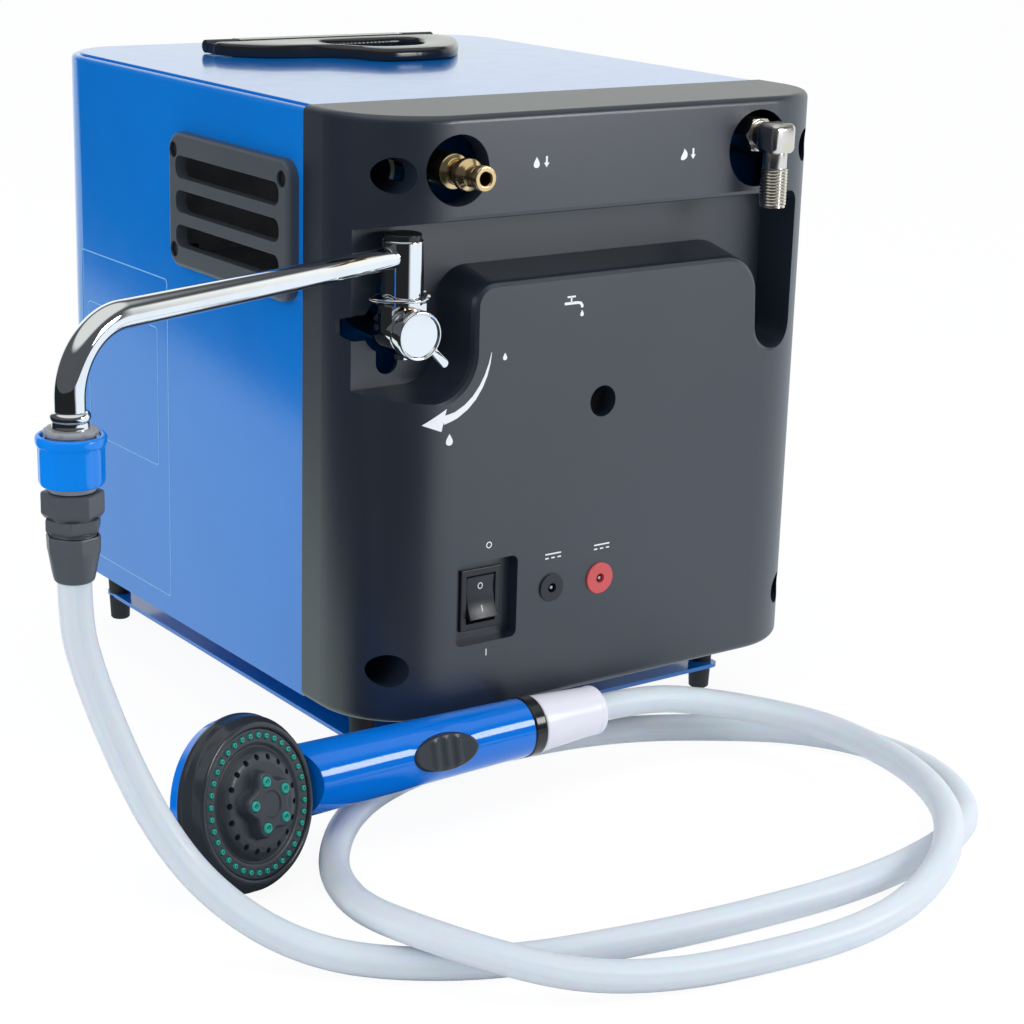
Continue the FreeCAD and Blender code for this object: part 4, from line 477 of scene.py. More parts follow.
def facing(way, at):
    """A place whose local Z points one way."""
    return Matrix.Translation(Vector(at)) @ Vector(way).to_track_quat("Z", "Y").to_matrix().to_4x4()


def tilted(degrees, axis):
    """A turn about one axis."""
    return Matrix.Rotation(math.radians(degrees), 4, axis)


def ring_places(place, radius, count, turn=0.0):
    """Places spaced evenly on a circle about a place's local Z."""
    return [place @ Matrix.Translation((radius * math.cos(a), radius * math.sin(a), 0))
            for a in turns(count, math.radians(turn))]


# ---- Camera and hose

CAMERA_AT = mm(-808.83, -1229.48, 536.49)
CAMERA_LENS, CAMERA_SENSOR = 83.14, 36.0
CAMERA_TURN = (-36.1, 16.64, 1.68)      # azimuth, elevation and roll in degrees


def make_camera():
    azimuth, elevation, roll = (math.radians(a) for a in CAMERA_TURN)
    back = Vector((math.sin(azimuth) * math.cos(elevation),
                   -math.cos(azimuth) * math.cos(elevation), math.sin(elevation)))
    right = (-back).cross(Vector((0, 0, 1))).normalized()
    up = right.cross(-back)
    right_rolled = right * math.cos(roll) + up * math.sin(roll)
    up_rolled = up * math.cos(roll) - right * math.sin(roll)
    data = bpy.data.cameras.new("front_left_camera")
    data.lens, data.sensor_width = CAMERA_LENS, CAMERA_SENSOR
    data.clip_end = 50
    camera = bpy.data.objects.new("front_left_camera", data)
    turn = Matrix((right_rolled, up_rolled, back)).transposed().to_4x4()
    camera.matrix_world = Matrix.Translation(CAMERA_AT) @ turn
    bpy.context.scene.collection.objects.link(camera)
    bpy.context.scene.camera = camera


HOSE_TOP = (-361.7, -275.8, 188.6)
HOSE_ROUTE = (
    HOSE_TOP, (-361.7, -275.8, 166.6),
    (-358, -279, 146), (-352, -285, 122), (-344, -293, 95), (-334, -303, 68), (-321, -315, 44),
    (-304, -331, 25), (-285, -350, 13), (-263, -371, 8), (-229, -397, 8), (-190, -413, 8),
    (-152, -421, 8), (-109, -429, 8), (-62, -434, 8), (-13, -437, 8), (36, -433, 8),
    (90, -419, 8), (119, -395, 8), (137, -362, 8), (142, -325, 8), (133, -288, 8),
    (112, -257, 8), (78, -232, 8), (40, -209, 8), (0, -196, 8), (-42, -191, 8),
    (-84, -189, 8), (-122, -194, 8), (-158, -209, 8), (-189, -233, 8), (-215, -265, 8),
    (-236, -305, 15), (-250, -350, 23), (-243, -390, 26), (-222, -425, 22), (-190, -450, 14),
    (-144, -463, 8), (-94, -472, 8), (-45, -476, 8), (-3, -473, 12), (35, -459, 19),
    (65, -435, 26), (87, -403, 26), (101, -366, 26), (105, -327, 26), (98, -295, 28),
    (80, -267, 30), (55, -246, 34),
    (17, -235, 41), (-21, -235, 41),
)
HOSE_RADIUS, HOSE_INSIDE, HOSE_SIDES = 8.0, 6.0, 28     # radii of its outside and inside


def make_hose():
    """A tube along the route; its first UV number is how far along the hose a point is."""
    line = line_of("hose_line", [mm(*p) for p in HOSE_ROUTE])
    shape = Shape().drawn([at / MM for at in line], [HOSE_RADIUS] * len(line), HOSE_SIDES,
                          HOSE_INSIDE)
    mesh = shape.mesh("hose", 60.0)
    ways = mesh.uv_layers.new(name="along_and_round")
    walk = [0.0]
    for a, b in zip(line, line[1:]):
        walk.append(walk[-1] + (b - a).length)
    for corner, loop in enumerate(mesh.loops):
        ring, place = divmod(loop.vertex_index % (len(line) * HOSE_SIDES), HOSE_SIDES)
        around = math.sin(2 * math.pi * place / HOSE_SIDES)
        ways.data[corner].uv = (walk[ring], 0.5 + 0.1 * around)
    hose = piece("hose", mesh, HOSE, None, "shower_hose")
    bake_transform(hose)


make_camera()
make_hose()


# ---- Floor, world and lamps

FLOOR_HALF, FLOOR_DROP = 6, 0.0002  # metres; it lies just under the feet
TAP_SPOT = mm(-130, -190, 0)        # what shiny pieces see of the floor is laid out round it
FRONT_STARTS = (-4.0, 14.0)         # degrees round the tap, 0 straight to the front
LEFT_ENDS = (-104.0, -92.0)
LEFT_REACH = (-0.51, -0.44)         # metres, where the bright floor at the left fades


def make_floor():
    """White to the eye and faintly shaded under the object. Shiny pieces see it bright to the
    front right, dark in a wedge to the front left, and bright again close to the left side."""
    f = Finish("pale_floor")
    tone = f.blend(f.noise(3.0), (0.86, 0.86, 0.87), (0.88, 0.88, 0.89))
    plain = f.add("BsdfDiffuse", None, {"Color": tone})
    white = f.light("Emission", (1, 1, 1), 1.03)
    dark = f.light("Emission", (0.9, 0.95, 1), 0.02)
    bright = f.light("Emission", (0.86, 0.94, 1.0), 1.08)
    beside = f.light("Emission", (0.80, 0.92, 0.88), 1.05)
    x, y, _ = f.parts(f.add("TexCoord", out="Object"))
    round_tap = (x - TAP_SPOT.x).math("ARCTAN2", (y - TAP_SPOT.y) * -1.0) * math.degrees(1)
    front = f.step(round_tap, *FRONT_STARTS)
    left = (1 - f.step(round_tap, *LEFT_ENDS)) * f.step(x + y * 0.18, *LEFT_REACH)
    mirrored = f.shaders(left, f.shaders(front, dark, bright), beside)
    shader = f.shaders(f.ray("Camera") * 0.9, plain, white)
    f.add("OutputMaterial", None, {"Surface": f.shaders(f.ray("Glossy"), shader, mirrored)})
    mesh = bpy.data.meshes.new("floor")
    build = bmesh.new()
    bmesh.ops.create_grid(build, x_segments=1, y_segments=1, size=FLOOR_HALF)
    build.to_mesh(mesh)
    build.free()
    floor = piece("floor", mesh, f.material, body=None)
    floor.location = (0, 0, -FLOOR_DROP)


def make_world():
    """White to the eye and through glass; shiny pieces see a dark room with a bright wall
    to the back and right, and a softer patch overhead."""
    world = bpy.data.worlds.new("studio")
    bpy.context.scene.world = world
    world.use_nodes = True
    w = Nodes(world.node_tree)
    plain = w.light("Background", (1, 1, 1), 1.0)
    soft_light = w.light("Background", (0.93, 0.96, 1.0), 0.72)
    room = w.light("Background", (0.88, 0.94, 1.0), 0.10)
    wall = w.light("Background", (0.97, 1.0, 0.95), 1.1)
    x, y, z = w.parts(w.add("TexCoord", out="Generated"))
    lit = (w.step(x * 0.8 + y * 0.6, 0.3, 0.55) * (1 - w.step(z, 0.45, 0.6))
           + w.step(z, 0.66, 0.8) * 0.7)
    seen = (w.ray("Camera") + w.ray("Transmission")).clamped()
    shader = w.shaders(w.ray("Glossy"), soft_light, w.shaders(lit, room, wall))
    w.add("OutputWorld", None, {"Surface": w.shaders(seen, shader, plain)})


def lamp(name, at, towards, size, power, mirrored=True):
    """A soft rectangular lamp; shiny pieces may be kept from showing it."""
    data = bpy.data.lights.new(name, "AREA")
    data.shape = "RECTANGLE"
    data.size, data.size_y = size
    data.energy = power
    obj = bpy.data.objects.new(name, data)
    obj.location = at
    way = Vector(towards) - Vector(at)
    obj.rotation_euler = way.to_track_quat("-Z", "Y").to_euler()
    obj.visible_glossy = mirrored
    bpy.context.scene.collection.objects.link(obj)


make_floor()
make_world()
lamp("key_softbox", (0.527, -1.09, 0.57), (-0.15, -0.25, 0.05), (0.35, 0.35), 4.6)
lamp("top_softbox", (-0.2, -0.2, 1.9), (0, 0, 0.2), (1.6, 1.6), 8, mirrored=False)
lamp("left_softbox", (-2.2, -0.4, 1.0), (0, 0, 0.2), (1.2, 1.8), 17, mirrored=False)
bpy.context.scene.view_settings.view_transform = "Standard"


# ---- Carry handle

HANDLE_OUTLINE = ((-84, 99.5), (-84, 92), (-79, 82), (-62, 66), (-45, 61.5), (-27, 59), (-16, 47),
                  (-6, 26), (6, 21.5), (40, 21.5), (54, 30), (72, 52), (87, 76), (87, 92),
                  (87, 99.5), (60, 99.5), (20, 99.5), (-20, 99.5), (-60, 99.5))
HANDLE_HOLE = ((-14, 86.5), (-17, 70), (-12, 54), (2, 41), (32, 41), (44, 51), (55, 68), (57, 80),
               (52, 86.5), (30, 87), (5, 87))
HANDLE_MIDDLE = Vector((20, 65))
HANDLE_LOW, HANDLE_THICK, HANDLE_BEND = 381.7, 7.5, 3.5
HANDLE_AXLE = Vector((0, 107, 385.7))
KNUCKLES = ((-84.0, -61.4), (61.4, 87.0))


def rounded_loop(points):
    """A closed outline whose corners are cut three times over, which makes them smooth."""
    loop = [Vector(p) for p in points]
    for _ in range(3):
        loop = [p for a, b in zip(loop, loop[1:] + loop[:1])
                for p in (a * 0.75 + b * 0.25, a * 0.25 + b * 0.75)]
    return loop


def reach_round(loop, middle, count):
    """The outline's points at equal turns round a middle that sees all of it."""
    seen = sorted((math.atan2(*(p - middle).yx) % (2 * math.pi), (p - middle).length) for p in loop)
    seen = [(seen[-1][0] - 2 * math.pi, seen[-1][1])] + seen + [
        (seen[0][0] + 2 * math.pi, seen[0][1])]
    result, at = [], 0
    for angle in turns(count):
        while seen[at + 1][0] < angle:
            at += 1
        (a, ra), (b, rb) = seen[at], seen[at + 1]
        result.append((angle, ra + (rb - ra) * (angle - a) / (b - a)))
    return result


def make_handle():
    """Full-rounded loop handle with hinge knuckles, lying on the lid."""
    low, thick, bend, count = HANDLE_LOW, HANDLE_THICK, HANDLE_BEND, 288
    outside = reach_round(rounded_loop(HANDLE_OUTLINE), HANDLE_MIDDLE, count)
    inside = reach_round(rounded_loop(HANDLE_HOLE), HANDLE_MIDDLE, count)
    quarter = [(bend * (1 - math.cos(t)), thick - bend + bend * math.sin(t))
               for t in (math.pi / 2 * i / 6 for i in range(7))]
    shape, sections = Shape(), []
    for (angle, far), (_, near) in zip(outside, inside):
        way = Vector((math.cos(angle), math.sin(angle)))
        section = [(far - 0.8, 0.0), (far, 0.9)] + [(far - d, h) for d, h in quarter]
        section += [(far * (1 - t) + near * t, thick + 0.35 * math.sin(math.pi * t))
                    for t in (0.35, 0.5, 0.65)]
        section += [(near + 0.8 * d, h) for d, h in reversed(quarter)]
        section += [(near, 0.9), (near + 0.8, 0.0)]
        sections.append([shape.vertex((*(HANDLE_MIDDLE + way * r), low + h)) for r, h in section])
    shape.skin(sections + sections[:1])
    for start, end in KNUCKLES:
        shape.turned(eased([(0, start), (4.1, start), (4.1, end), (0, end)], 0.8),
                     facing((1, 0, 0), HANDLE_AXLE), 40)
        shape.extruded([(start + 0.4, 95.0), (end - 0.3, 95.0), (end - 0.3, 106.5),
                        (start + 0.4, 106.5)], low + 0.2, low + 6.4)
    shape.made("carry_grip", BLACK, "lid_handle", "black_gloss", "carry_handle", 50.0)


# ---- Edge round the water inlet

PANEL_CORNER, PANEL_CORNER_RADIUS = Vector((-109.6, -163.7)), 52.0
WATER_INLET = Vector((-112.7, -244, 353))
WELL, WELL_RADIUS = Vector((-142, 351)), 9.6


def panel_front(x, z, lift):
    """A point lifted off the front panel, round its left corner too."""
    over = max(0.0, PANEL_CORNER.x - x)
    return Vector((x, PANEL_CORNER.y - math.sqrt(PANEL_CORNER_RADIUS ** 2 - over ** 2) - lift, z))


def make_inlet_edge():
    """Crescent that narrows the water inlet's opening and stands between it and the screw well."""
    wide, wide_radius = WATER_INLET.xz, 22.25
    narrow, narrow_radius, inner_radius = Vector((-109.4, 353.2)), 18.9, 18.6
    shape, rows = Shape(), []
    for share in (0.0, 0.25, 0.5, 0.75, 1.0):
        row = []
        for angle in turns(96):
            way = Vector((math.cos(angle), math.sin(angle)))
            at = (wide + way * wide_radius) * (1 - share) + (narrow + way * narrow_radius) * share
            off = at - WELL
            if off.length < WELL_RADIUS:
                at = WELL + off.normalized() * WELL_RADIUS
            row.append(at)
        rows.append(row)
    bore = [narrow + (p - narrow).normalized() * inner_radius for p in rows[-1]]
    front = [[shape.vertex(panel_front(*p, 0.02)) for p in row] for row in rows]
    lip = [shape.vertex(panel_front(*p, -0.5)) for p in bore]
    back = [[shape.vertex(panel_front(*p, -12.0)) for p in row] for row in (bore, rows[0])]
    shape.skin(front + [lip] + back + [front[0]])
    shape.made("water_inlet_edge", PANEL, "root", "black_panel", sharp=30.0)


# ---- Tap, spout and knob

TAP = Vector((-134, -200, 268))
SPOUT_TURN = math.radians(180 + 18.4)
SPOUT_WAY = Vector((math.cos(SPOUT_TURN), math.sin(SPOUT_TURN), 0))
SPOUT_END = Vector((-361.7, -275.8, 0))
KNOB_BACK, LEVER_LEVEL, LEVER_TURN = -209.4, -214.95, 45


def make_spout():
    """Straight run that widens from the post, one bend, and the drop to its end."""
    root = Vector((TAP.x, TAP.y, 308))
    start, straight, bend, low, steps = 8.5, 206.0, 34.0, 269.0, 40
    line = [root + SPOUT_WAY * (start + (straight - start) * i / 12) for i in range(13)]
    hub = root + SPOUT_WAY * straight - Vector((0, 0, bend))
    for i in range(1, steps + 1):
        turn = math.pi / 2 * i / steps
        line.append(hub + (SPOUT_WAY * math.sin(turn) + Vector((0, 0, math.cos(turn)))) * bend)
    line.append(Vector((*line[-1].xy, low)))
    radii = [6.0 + 1.2 * within(i / 12) for i in range(len(line))]
    Shape().drawn(line, radii, 64).made("spout_tube", CHROME, "spout_arm", "chrome", "spout")


def make_post_clip():
    """Spring wire that goes round behind the post and back along its front."""
    post = Vector((TAP.x, TAP.y, 285.6))
    route = [(20.5, 8.5, 0), (13, 10.2, 0), (4, 12.2, 0), (-5, 12.4, 0), (-12, 9.6, 0.2),
             (-18.5, 4, 0.4), (-19.5, -2.5, 0.6), (-14, -8, 0.4), (-7, -11.6, 0.2),
             (0, -13, 0), (5.5, -12.4, -0.2), (9, -10.4, 0.2), (8.6, -12.6, 2.2)]
    line = line_of("clip_line", [(post + Vector(p)) * MM for p in route])
    Shape().drawn([at / MM for at in line], [0.9] * len(line), 12).made(
        "post_wire", CHROME, "root", "steel", "post_clip")


def make_flow_knob():
    """Round head with a raised rim and a finely turned, dished face; lever and stem."""
    front, dish, groove = facing((0, -1, 0), (TAP.x, KNOB_BACK, TAP.z)), 7.55, 0.07
    face = [(r, dish + 0.25 * (r / 11.2) ** 2 + (groove if i % 2 else 0.0))
            for i, r in enumerate([11.2 - 0.56 * k for k in range(19)])]
    profile = eased([(0.0, 0.0), (12.2, 0.0), (13.6, 1.4), (13.6, 7.6), (12.9, 9.0),
                     (11.9, 9.0), (11.3, 7.9), (11.2, 7.8)], 0.7)
    shape = Shape().turned(profile + face + [(0.0, dish)], front, 72)
    shape.turned([(0.0, -8.0), (3.6, -8.0), (4.0, -7.6), (4.0, 0.5), (0.0, 0.5)], front, 32)
    shape.made("tap_knob", CHROME, "tap_knob", "chrome", "flow_knob", 30.0)
    turn = Matrix.Translation((TAP.x, LEVER_LEVEL, TAP.z)) @ tilted(LEVER_TURN, "Y")
    outline = [(11.5, -2.3), (23.4, -2.5)]
    outline += [(23.5 + 2.5 * math.cos(t), 2.5 * math.sin(t))
                for t in (math.radians(a) for a in range(-80, 81, 16))]
    outline += [(23.4, 2.5), (11.5, 2.3)]
    lever = Shape().extruded(outline, -2.25, 2.25, turn @ tilted(90, "X")).softened(0.9, 50.0)
    lever.made("tap_lever", CHROME, "tap_knob", "chrome", "flow_knob")


# ---- Quick connector

CONNECTOR = Matrix.Translation(SPOUT_END)


def hexed(flat, corner, turn):
    """Radius round a hexagon whose flats are this far out and whose corners are clipped."""
    def radius(angle):
        off = (angle - math.radians(turn) + math.pi / 6) % (math.pi / 3) - math.pi / 6
        return min(flat / math.cos(off), corner)
    return radius


def thread_wave(angle, h, pitch):
    """0 on a thread's crest and 1 at its root."""
    return abs(((h / pitch + angle / (2 * math.pi)) % 1.0) * 2 - 1)


def make_insert():
    """Scalloped grey insert in the collar's mouth, under a short plated neck."""
    def scallops(angle, r, h, _):
        return (r - 0.9 * max(0.0, math.cos(angle * 8)) ** 2 if r > 11.2 and h > 258.6 else r), h
    Shape().turned(eased([(0, 232), (11, 232), (11, 258.5), (12.6, 258.5), (12.6, 260.4),
                          (11.8, 261.2), (9.0, 261.2), (0, 261.2)], 0.4, 2), CONNECTOR, 96,
                   scallops).made("connector_insert_moulded", INSERT, "spout_arm", "grey_plastic",
                                  "connector_insert", 30.0)
    Shape().turned([(0, 260.6), (8.7, 260.6), (8.9, 261.4), (8.6, 262.2), (8.6, 264.2), (0, 264.2)],
                   CONNECTOR, 64).made("connector_neck", CHROME, "spout_arm", "chrome",
                                       "connector_insert")


def make_collar():
    """Sliding sleeve: soft flats on its body, a raised rim, and a stepped mouth."""
    profile = eased([(11.05, 245.0), (11.05, 234.8), (14.5, 234.8), (15.2, 236.6), (15.3, 252.6),
                     (16.3, 254.4), (16.3, 257.3), (15.5, 258.3), (13.7, 258.3), (13.1, 256.6),
                     (11.05, 256.6), (11.05, 245.0)], 1.0, 4)[:-1]

    def flats(angle, r, h, _):
        share = within(r - 13.9) * (1.0 if h < 254 else 0.35)
        return r - share * 0.34 * abs(math.sin(angle * 6)) ** 3, h
    profile.append(profile[0])
    Shape().turned(profile, CONNECTOR, 144, flats).made(
        "release_sleeve", COLLAR, "release_collar", "blue_plastic", "connector_collar")


def make_adapter():
    """Two hexagons at different turns over a short thread that the clamp nut screws on."""
    def hexagon(flat, corner, turn, rim):
        form = hexed(flat, corner, turn)
        return lambda angle, r, h, _: ((form(angle) if r > rim else r) + min(0.0, r - corner), h)
    shape = Shape().turned(eased([(0, 219.2), (12.9, 219.2), (14.4, 221.4), (14.4, 230.9),
                                  (13.7, 231.6), (11.1, 231.6), (0, 231.6)], 0.5, 2),
                           CONNECTOR, 144, hexagon(12.7, 14.4, -115, 12.6))
    shape.turned(eased([(0, 213.0), (12.6, 213.0), (13.5, 213.9), (13.5, 219.3), (0, 219.3)],
                       0.5, 2), CONNECTOR, 144, hexagon(12.0, 13.5, -90, 11.6))

    def thread(angle, r, h, _):
        return (r - 0.55 * thread_wave(angle, h, 1.5) if r > 9.0 else r), h
    shape.turned([(0, 208.0)] + [(10.9, 208.0 + i * 0.25) for i in range(22)] + [(0, 213.3)],
                 CONNECTOR, 48, thread)
    shape.made("hose_adapter_body", GREY, "spout_arm", "grey_plastic", "hose_adapter", 24.0)


def make_clamp_nut():
    """Hollow-topped nut: rounded hexagon that melts into a cone with an eased foot."""
    form = hexed(11.75, 12.6, -77)
    profile = eased([(0, 208.2), (11.2, 208.2), (11.3, 210.6), (12.0, 211.2), (12.4, 210.2),
                     (12.2, 203.8), (10.2, 193.0), (9.4, 189.4), (8.7, 188.6), (0, 188.6)], 0.9, 4)

    def melts(angle, r, h, _):
        share = within((h - 196) / 9) if r > 11.4 or h < 204 else 0.0
        return r + share * (form(angle) - 12.2) * (1.0 if r > 9.0 else 0.0), h
    Shape().turned(profile, CONNECTOR, 144, melts).made(
        "hose_clamp_nut", GREY, "spout_arm", "grey_plastic", "clamp_nut", 24.0)


# ---- Water and gas inlets

def make_water_tail():
    """Turned hose tail: bored tip, groove, ridge and collar on a plain body."""
    profile = eased([(3.5, 30), (3.5, 0.6), (4.1, 0), (6.6, 0), (6.6, 5), (5.6, 6.5), (5.6, 12),
                     (8.6, 14.5), (8.6, 19), (6.6, 21), (6.6, 27), (9.5, 28.4), (9.5, 79),
                     (3.5, 79), (3.5, 30)], 0.8, 4)
    profile[-1] = profile[0]
    Shape().turned(profile, facing((0, 1, 0), WATER_INLET), 64).made(
        "water_inlet_tail_turned", BRASS, "root", "brass", "water_inlet_tail", 50.0)


GAS = Vector((95, -232, 361))
GAS_NUT = GAS + Vector((0, 13, 0))


def make_gas_elbow():
    """Forged block with a threaded leg that points down and a run into the case."""
    shape = Shape()
    bmesh.ops.create_cube(shape.build, size=17.0, matrix=Matrix.Translation(GAS))
    shape.softened(3.6, 30.0, 6)
    down = facing((0, 0, -1), GAS)

    def thread(angle, r, h, _):
        cut = 0.85 * thread_wave(-angle, h, 1.75)
        lead = within((38.6 - h) / 1.6)
        return (r - cut - (1 - lead) * 0.5 if 17.0 < h < 38.9 and r > 6.5 else r), h
    shape.turned(eased([(0, 7), (6.9, 7), (6.9, 17), (0, 17)], 0.3), down, 48)
    shape.turned([(0, 16.9)] + [(7.9, 17.0 + i * 0.2917) for i in range(76)] +
                 [(7.0, 39.0), (4.6, 39.0), (4.0, 38.4), (4.0, 22.0), (0, 22.0)], down, 48, thread)
    shape.turned([(0, 6.0), (7.9, 6.0), (7.9, 88.0), (0, 88.0)], facing((0, 1, 0), GAS), 48)
    shape.made("gas_elbow_forged", PLATED, "root", "plated", "gas_inlet_elbow", 32.0)


def make_gas_nut():
    """Chamfered hexagon nut and the plain sleeve behind it."""
    form = hexed(9.1, 10.5, 30)

    def flats(angle, r, h, _):
        return (min(r, form(angle)) if r > 9.05 else r), h
    shape = Shape().turned(eased([(7.95, 5), (7.95, 0), (9.3, 0), (10.5, 1.1), (10.5, 13),
                                  (9.3, 14), (7.95, 14), (7.95, 5)], 0.3, 2),
                           facing((0, 1, 0), GAS_NUT), 96, flats)
    shape.turned([(7.95, 40), (7.95, 14), (9.0, 14), (9.0, 75), (7.95, 75), (7.95, 40)],
                 facing((0, 1, 0), GAS_NUT), 48)
    shape.welded().made("gas_nut_hexagon", PLATED, "root", "plated", "gas_nut", 24.0)


# ---- Switch

ROCKER_PIN, ROCKER_TILT = Vector((-85, -204.7, 112)), -10
ROCKER = Matrix.Translation(ROCKER_PIN) @ tilted(ROCKER_TILT, "X")


def rocker_hollow(z):
    """How far the rocker's front stands before its pin at a height."""
    return 4.6 + 2.4 * (z / 12) ** 2


def rocker_face(x, z, lift):
    """A point lifted off the rocker's hollow front."""
    return ROCKER @ Vector((x, -rocker_hollow(z) - lift, z))


def make_rocker():
    """Hollow-faced rocker with eased edges, on its pin."""
    outline = [(-rocker_hollow(z), z) for z in (-12 + 24 * i / 20 for i in range(21))]
    outline += [(-5.0, 12.6), (1.5, 6), (3.0, 0), (1.5, -6), (-5.0, -12.6)]
    lay = ROCKER @ Matrix(((0, 0, 1, 0), (1, 0, 0, 0), (0, 1, 0, 0), (0, 0, 0, 1)))
    shape = Shape().extruded(outline, -9.25, 9.25, lay).softened(0.5, 30.0)
    shape.turned([(0, -10.8), (1, -10.8), (1, 10.8), (0, 10.8)],
                 facing((1, 0, 0), ROCKER_PIN), 16)
    shape.made("rocker_cap", SWITCH, "switch_rocker", "black_gloss", "power_rocker", 24.0)


# ---- Printed marks

INK = 0.12      # how far ink stands off what it is printed on
CASE_LEFT = -160.0


def left_side(y, z, lift):
    """A point lifted off the case's left side."""
    return Vector((CASE_LEFT - lift, y, z))


def printed(name, ribbons, surface, material=PRINT, body="root", slot="black_panel"):
    """Thin ink; each ribbon is two rows of points on the surface, joined across."""
    shape = Shape()
    for first, second in ribbons:
        rows = [[shape.vertex(surface(*p, lift)) for p in row] for row, lift in (
            (first, INK), (second, INK), (second, -INK / 4), (first, -INK / 4))]
        for i in range(len(first) - 1):
            for a, b in zip(rows, rows[1:] + rows[:1]):
                shape.build.faces.new((a[i], a[i + 1], b[i + 1], b[i]))
        if first[0] != first[-1]:
            for i in (0, -1):
                shape.build.faces.new([row[i] for row in rows])
    shape.welded().made(name, material, body, slot)


def ring_mark(x, z, wide, high, line):
    """An oval outline."""
    angles = turns(28) + [0.0]
    return ([(x + wide * math.cos(t), z + high * math.sin(t)) for t in angles],
            [(x + (wide - line) * math.cos(t), z + (high - line) * math.sin(t)) for t in angles])


def bar_mark(x0, z0, x1, z1, line):
    """A straight stroke."""
    along = Vector((x1 - x0, z1 - z0)).normalized() * line / 2
    across = Vector((-along.y, along.x))
    return ([(x0 + across.x, z0 + across.y), (x1 + across.x, z1 + across.y)],
            [(x0 - across.x, z0 - across.y), (x1 - across.x, z1 - across.y)])


def drop_mark(x, z, high, lean=0.0):
    """A falling drop, or with a lean a small flame."""
    angles = [math.pi * k / 16 for k in range(17)]
    return [[(x + way * 0.46 * high * math.sin(t) * math.sin(t / 2) ** 1.5
              + lean * high * math.sin(t) * math.cos(t / 2),
              z + high / 2 * math.cos(t)) for t in angles] for way in (-1, 1)]


def pointer_mark(x, z, high):
    """A straight arrow that points down."""
    low = z - high / 2
    return [bar_mark(x, z + high / 2, x, low + high * 0.42, high * 0.2),
            ([(x - high * 0.3, low + high * 0.42), (x, low)],
             [(x + high * 0.3, low + high * 0.42), (x, low)])]


def flow_arrow():
    """The curved arrow under the tap: thin at its tail, wide towards its head."""
    middle = [(-86.2, 253.8), (-87.4, 247.8), (-89.6, 241.4), (-92.6, 235.6), (-96.8, 230.0),
              (-102.0, 225.4), (-108.4, 221.8), (-112.4, 220.6), (-116.6, 219.6)]
    rows = ([], [])
    for i, (x, z) in enumerate(middle):
        before, after = middle[max(0, i - 1)], middle[min(len(middle) - 1, i + 1)]
        way = Vector((after[0] - before[0], after[1] - before[1])).normalized()
        half = 0.12 + 2.3 * (i / (len(middle) - 1)) ** 0.8
        for row, sign in zip(rows, (1, -1)):
            row.append((x - way.y * half * sign, z + way.x * half * sign))
    heads, tip = ((-114.6, 225.8), (-117.6, 213.4)), (-128.4, 217.6)
    head = tuple([(a + (tip[0] - a) * k / 10, b + (tip[1] - b) * k / 10) for k in range(11)]
                 for a, b in heads)
    half_way = [((a + c) / 2, (b + d) / 2) for (a, b), (c, d) in zip(*head)]
    return [rows, (head[0], half_way), (half_way, head[1])]


def make_marks():
    printed("flow_arrow", flow_arrow(), panel_front)
    printed("flow_marks", [drop_mark(-77.3, 250.6, 4.2), drop_mark(-112.6, 208.6, 6.6)], panel_front)
    printed("switch_marks", [ring_mark(-84.6, 144.8, 1.9, 1.9, 0.55),
                             bar_mark(-84.8, 80.0, -84.8, 84.0, 0.6)], panel_front)
    printed("water_inlet_mark", [drop_mark(-60.0, 354.5, 6.0)] + pointer_mark(-53.4, 354.5, 6.0),
            panel_front)
    printed("gas_inlet_mark", [drop_mark(41.0, 352.8, 6.6, 0.3)] + pointer_mark(48.4, 352.8, 6.0),
            panel_front)
    tap = [bar_mark(-38.0, 275.6, -29.0, 275.6, 1.5), bar_mark(-33.4, 276.0, -33.4, 279.0, 1.0),
           bar_mark(-36.2, 279.2, -30.6, 279.2, 1.0),
           ([(-29.0, 276.35), (-26.4, 275.8), (-25.2, 274.2), (-25.0, 272.6)],
            [(-29.0, 274.85), (-27.4, 274.5), (-26.8, 273.7), (-26.7, 272.6)])]
    printed("water_outlet_mark", tap + [drop_mark(-25.8, 269.4, 3.6)], panel_front)
    for name, x in (("pump_socket_mark", -40.0), ("charger_socket_mark", -5.4)):
        printed(name, [bar_mark(x - 5.5, 132.6, x + 5.5, 132.6, 0.8)] + [
            bar_mark(x + d - 1.2, 130.2, x + d + 1.2, 130.2, 0.8) for d in (-4.3, 0, 4.3)],
            panel_front)
    printed("rocker_marks", [ring_mark(0, 6.4, 1.7, 1.9, 0.5), bar_mark(0, -8.2, 0, -4.6, 0.55)],
            rocker_face, body="switch_rocker")


def frame_mark(y0, z0, y1, z1, line, bend=3.0):
    """A thin outline frame with rounded corners."""
    rows = []
    for inset in (0.0, line):
        row, r = [], bend - inset
        for (cy, cz), first in (((y1 - bend, z1 - bend), 0), ((y0 + bend, z1 - bend), 90),
                                ((y0 + bend, z0 + bend), 180), ((y1 - bend, z0 + bend), 270)):
            row += [(cy + r * math.cos(math.radians(first + a)),
                     cz + r * math.sin(math.radians(first + a))) for a in (0, 30, 60, 90)]
        rows.append(row + row[:1])
    return tuple(rows)


def make_side_frames():
    printed("side_frames", [frame_mark(16, 60, 132, 260, 0.7), frame_mark(29.5, 141, 124, 228, 0.6)],
            left_side, PALE_PRINT, slot="blue_paint")


# ---- Hand shower

SHOWER = Matrix.Translation((-263, -235, 41)) @ tilted(75.6, "X")      # its grip along local X
FACE_PLACE = SHOWER @ Matrix.Translation((0, 0, 18)) @ tilted(19, "Y")
GRIP_PLACE = SHOWER @ tilted(90, "Y")
FINE_HOLES, SMALL_NOZZLES, LARGE_NOZZLES = (24.0, 18), (34.7, 36), (12.2, 5)
FIVE_TURN = 28


